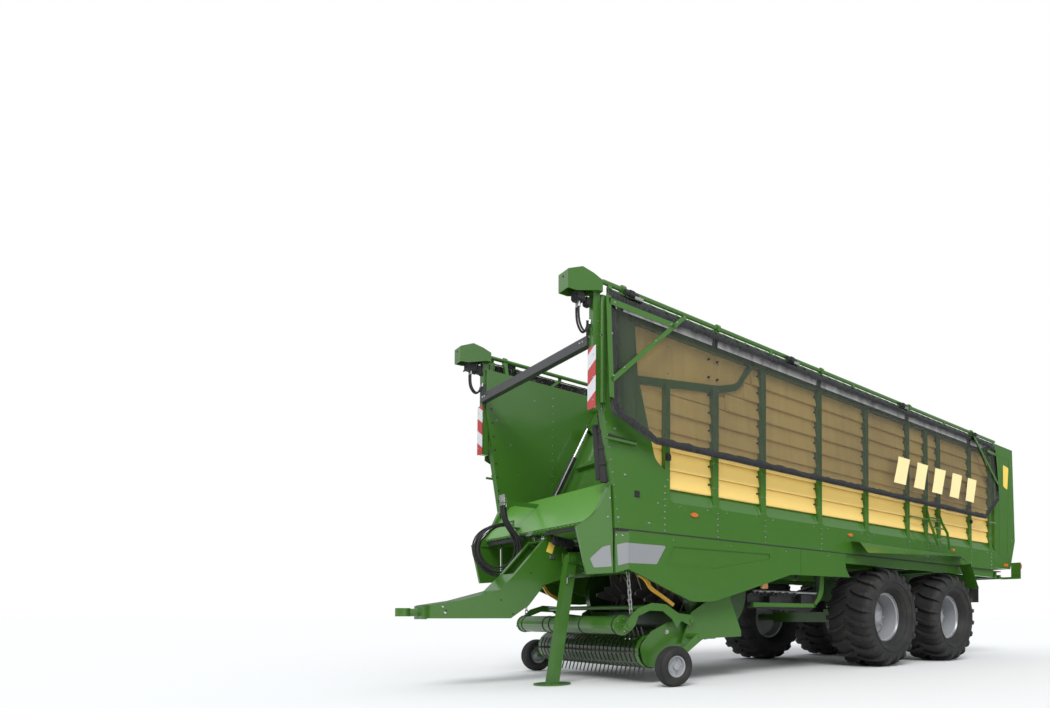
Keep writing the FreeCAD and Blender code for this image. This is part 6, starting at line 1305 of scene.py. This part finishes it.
class WAGON_OT_drawbar(bpy.types.Operator):
    """Black discs painted as the shade in holes, bolts, label and boot of the drawbar, and the head and pin of the
    support leg
    """
    bl_idname = "wagon.drawbar"
    bl_label = "Drawbar fittings"
    CHEEK_X = 0.1855

    def execute(self, context):
        for side, _ in SIDES:
            # painted shade: flat black discs on the cheeks stand in for the shade inside holes
            kit = Piece("cheek_hole_shades", "drawbar", side)
            for y, z in ((-0.089, 1.129), (0.044, 1.001), (-0.398, 0.848), (-0.274, 0.711), (-0.92, 0.742)):
                kit.bar((self.CHEEK_X, y, z), (self.CHEEK_X + 0.0012, y, z), 0.008, 12)
            kit.done("black_plastic")
            kit = Piece("cheek_bolts", "drawbar", side)
            for y, z, radius in ((-0.95, 0.775, 0.011), (-0.93, 0.72, 0.014), (0.16, 1.485, 0.02),
                                 (0.3, 1.1, 0.011)):
                kit.bolt((self.CHEEK_X, y, z), radius)
            kit.box((self.CHEEK_X, 0.112, 1.282), (self.CHEEK_X + 0.01, 0.178, 1.33), 0.004)
            kit.done("bright_steel")
        kit = Piece("drawbar_label", "drawbar")
        tilt, centre = Matrix.Rotation(math.radians(-18), 2), Vector((0.125, 1.4))
        corners = [centre + tilt @ Vector(corner) for corner in ((-0.035, -0.055), (0.035, -0.055),
                                                                 (0.035, 0.055), (-0.035, 0.055))]
        kit.plate([(self.CHEEK_X, *corner) for corner in corners], 0.0008)
        kit.done("sticker_yellow")
        kit = Piece("shaft_boot", "root")
        for k in range(7):
            y = 0.115 + k * 0.03
            kit.bar((0.285, y, 1.47 - k * 0.004), (0.285, y + 0.026, 1.467 - k * 0.004), 0.05, 18, 0.042)
        kit.bar((0.285, 0.1, 1.472), (0.285, 0.33, 1.44), 0.038, 16)
        kit.done("black_plastic")
        kit = Piece("leg_head", "drawbar")
        kit.bar((0.455, 0.246, 1.291), (0.478, 0.246, 1.291), 0.036, 24)
        kit.bar((0.478, 0.246, 1.291), (0.486, 0.246, 1.291), 0.017, 6)
        kit.done("green_paint")
        kit = Piece("leg_pin", "support_leg")
        kit.bar((0.424, 0.217, 1.105), (0.448, 0.217, 1.105), 0.017, 14)
        kit.bar((0.44, 0.217, 1.105), (0.45, 0.17, 1.075), 0.007, 10)
        kit.bar((0.45, 0.17, 1.078), (0.446, 0.17, 1.02), 0.006, 10)
        kit.done("bright_steel")
        return {"FINISHED"}


class WAGON_OT_hood(bpy.types.Operator):
    """Rivets, coupling caps and shadow strip of the hood"""
    bl_idname = "wagon.hood"
    bl_label = "Hood"

    def execute(self, context):
        kit = Piece("hood_rivets", "root")
        for k in range(28):
            x = -1.09 + k * 2.18 / 27
            kit.bolt((x, 0.262, 1.9395), 0.006, (0, -0.84, 0.55))
            kit.bolt((x, 0.0, 1.566), 0.006, (0, -1, 0))
        kit.done("bright_steel")
        kit = Piece("coupling_caps", "root")
        for k in range(3):
            x = -0.232 - k * 0.036
            kit.bar((x, -0.19, 1.94), (x, -0.19, 1.972), 0.0165, 14)
        kit.done("bright_steel")
        kit = Piece("hood_shadow_strip", "root")
        for side in (1, -1):
            kit.box((side * 0.24, 0.03, 1.515), (side * 1.12, 0.05, 1.549), 0.004)
        kit.done("black_plastic")
        return {"FINISHED"}


class WAGON_OT_pickup(bpy.types.Operator):
    """Roller bands, bolts, bent guards and square nuts of the pickup"""
    bl_idname = "wagon.pickup"
    bl_label = "Pickup fittings"
    ROLLER_Y, ROLLER_Z, ROLLER_R = 0.445, 0.6, 0.092

    def execute(self, context):
        kit = Piece("roller_bands", "press_roller")
        for x in (-0.93, -0.42, -0.28, 0.36, 0.98):
            kit.bar((x - 0.008, self.ROLLER_Y, self.ROLLER_Z), (x + 0.008, self.ROLLER_Y, self.ROLLER_Z),
                    self.ROLLER_R + 0.0035, 32)
        kit.done("black_plastic")
        kit = Piece("roller_bolts", "press_roller")
        for side in (1, -1):
            for k in range(5):
                turn = TURN * k / 5
                spot = at(side * 1.036, self.ROLLER_Y + 0.062 * math.cos(turn),
                          self.ROLLER_Z + 0.062 * math.sin(turn))
                kit.bolt(spot, 0.008, (side, 0, 0))
        kit.done("bright_steel")
        for side, _ in SIDES:
            kit = Piece("bent_guard", "pickup", side)
            path = rounded(((0.6, 1.09), (0.69, 1.05), (0.74, 0.96), (0.845, 0.905), (0.96, 0.84),
                            (1.04, 0.79)), 3)
            top = [at(side * 1.053, y, z) for y, z in path]
            add = Vector((side * 0.022, 0.0, 0.0))
            rise = Vector((0.0, 0.02, 0.03))
            rows = [[kit.bm.verts.new(p), kit.bm.verts.new(p + add), kit.bm.verts.new(p + add + rise),
                     kit.bm.verts.new(p + rise)] for p in top]
            add_skin(kit.bm, rows)
            kit.done("duct_yellow")
            kit = Piece("square_nut", "pickup", side)
            kit.box((1.186, 0.845, 0.51), (1.2, 0.885, 0.55), 0.004)
            kit.bar((1.2, 0.865, 0.53), (1.212, 0.865, 0.53), 0.013, 6)
            kit.done("bright_steel")
        return {"FINISHED"}


class WAGON_OT_underframe(bpy.types.Operator):
    """Pipes, valves and knobs of the gear below the load space"""
    bl_idname = "wagon.underframe"
    bl_label = "Underframe gear"

    def execute(self, context):
        for side, _ in SIDES:
            kit = Piece("gear_pipes", "root", side)
            kit.bar((1.06, 2.23, 0.985), (1.06, 3.46, 0.985), 0.014, 14)
            kit.bar((1.075, 2.3, 1.2), (1.075, 3.4, 1.235), 0.011, 12)
            kit.bar((1.075, 2.3, 1.24), (1.075, 3.4, 1.275), 0.011, 12)
            kit.done("zinc_steel")
            kit = Piece("gear_knobs", "root", side)
            for k in range(6):
                y = 2.27 + 0.13 * k
                kit.bar((1.09, y, 0.965), (1.118, y, 0.965), 0.02, 14, 0.016)
                kit.bar((1.088, y, 0.93), (1.088, y, 0.985), 0.01, 10)
            for y in (2.42, 2.95, 3.33):
                kit.box((1.066, y, 1.16), (1.094, y + 0.05, 1.3), 0.006)
            kit.done("black_plastic")
            kit = Piece("gear_block", "root", side)
            kit.box((1.075, 2.33, 1.015), (1.108, 2.44, 1.085), 0.008)
            kit.done("block_orange")
            kit = Piece("gear_guard", "root", side)
            kit.box((1.05, 2.195, 0.8), (1.098, 3.33, 0.852), 0.006)
            outline = round_corners(((3.3, 0.8, 0.02), (3.49, 0.96, 0.1), (3.495, 1.38, 0.02),
                                     (3.42, 1.38, 0.02), (3.4, 0.98, 0.12), (3.3, 0.856, 0.02)))
            kit.plate([(1.088, *spot) for spot in outline], 0.01)
            kit.done("green_paint")
        return {"FINISHED"}


class WAGON_PT_panel(bpy.types.Panel):
    """Buttons for the wagon's pieces"""
    bl_idname = "WAGON_PT_panel"
    bl_label = "Loader wagon"
    bl_space_type = "VIEW_3D"
    bl_region_type = "UI"
    bl_category = "Wagon"

    def draw(self, context):
        for operator in OPERATORS:
            self.layout.operator(operator.bl_idname)
        for group in (paint(), sizes(), studio()):
            for key in group.__annotations__:
                self.layout.prop(group, key)


OPERATORS = (WAGON_OT_studio, WAGON_OT_hoses, WAGON_OT_loops, WAGON_OT_finishes, WAGON_OT_nets,
             WAGON_OT_wheels, WAGON_OT_walls, WAGON_OT_boards, WAGON_OT_skirts, WAGON_OT_covers,
             WAGON_OT_front, WAGON_OT_lining, WAGON_OT_rear, WAGON_OT_drawbar, WAGON_OT_hood,
             WAGON_OT_pickup, WAGON_OT_underframe)
GROUPS = (WagonPaint, WagonSizes, WagonStudio)


def register():
    for item in GROUPS + OPERATORS + (WAGON_PT_panel,):
        bpy.utils.register_class(item)
    bpy.types.Scene.wagon_paint = bpy.props.PointerProperty(type=WagonPaint)
    bpy.types.Scene.wagon_sizes = bpy.props.PointerProperty(type=WagonSizes)
    bpy.types.Scene.wagon_studio = bpy.props.PointerProperty(type=WagonStudio)


def unregister():
    del bpy.types.Scene.wagon_studio
    del bpy.types.Scene.wagon_sizes
    del bpy.types.Scene.wagon_paint
    for item in reversed(GROUPS + OPERATORS + (WAGON_PT_panel,)):
        bpy.utils.unregister_class(item)


def main():
    """Registers the add-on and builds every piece."""
    register()
    for operator in OPERATORS:
        group, name = operator.bl_idname.split(".")
        getattr(getattr(bpy.ops, group), name)()


if __name__ == "__main__":
    main()
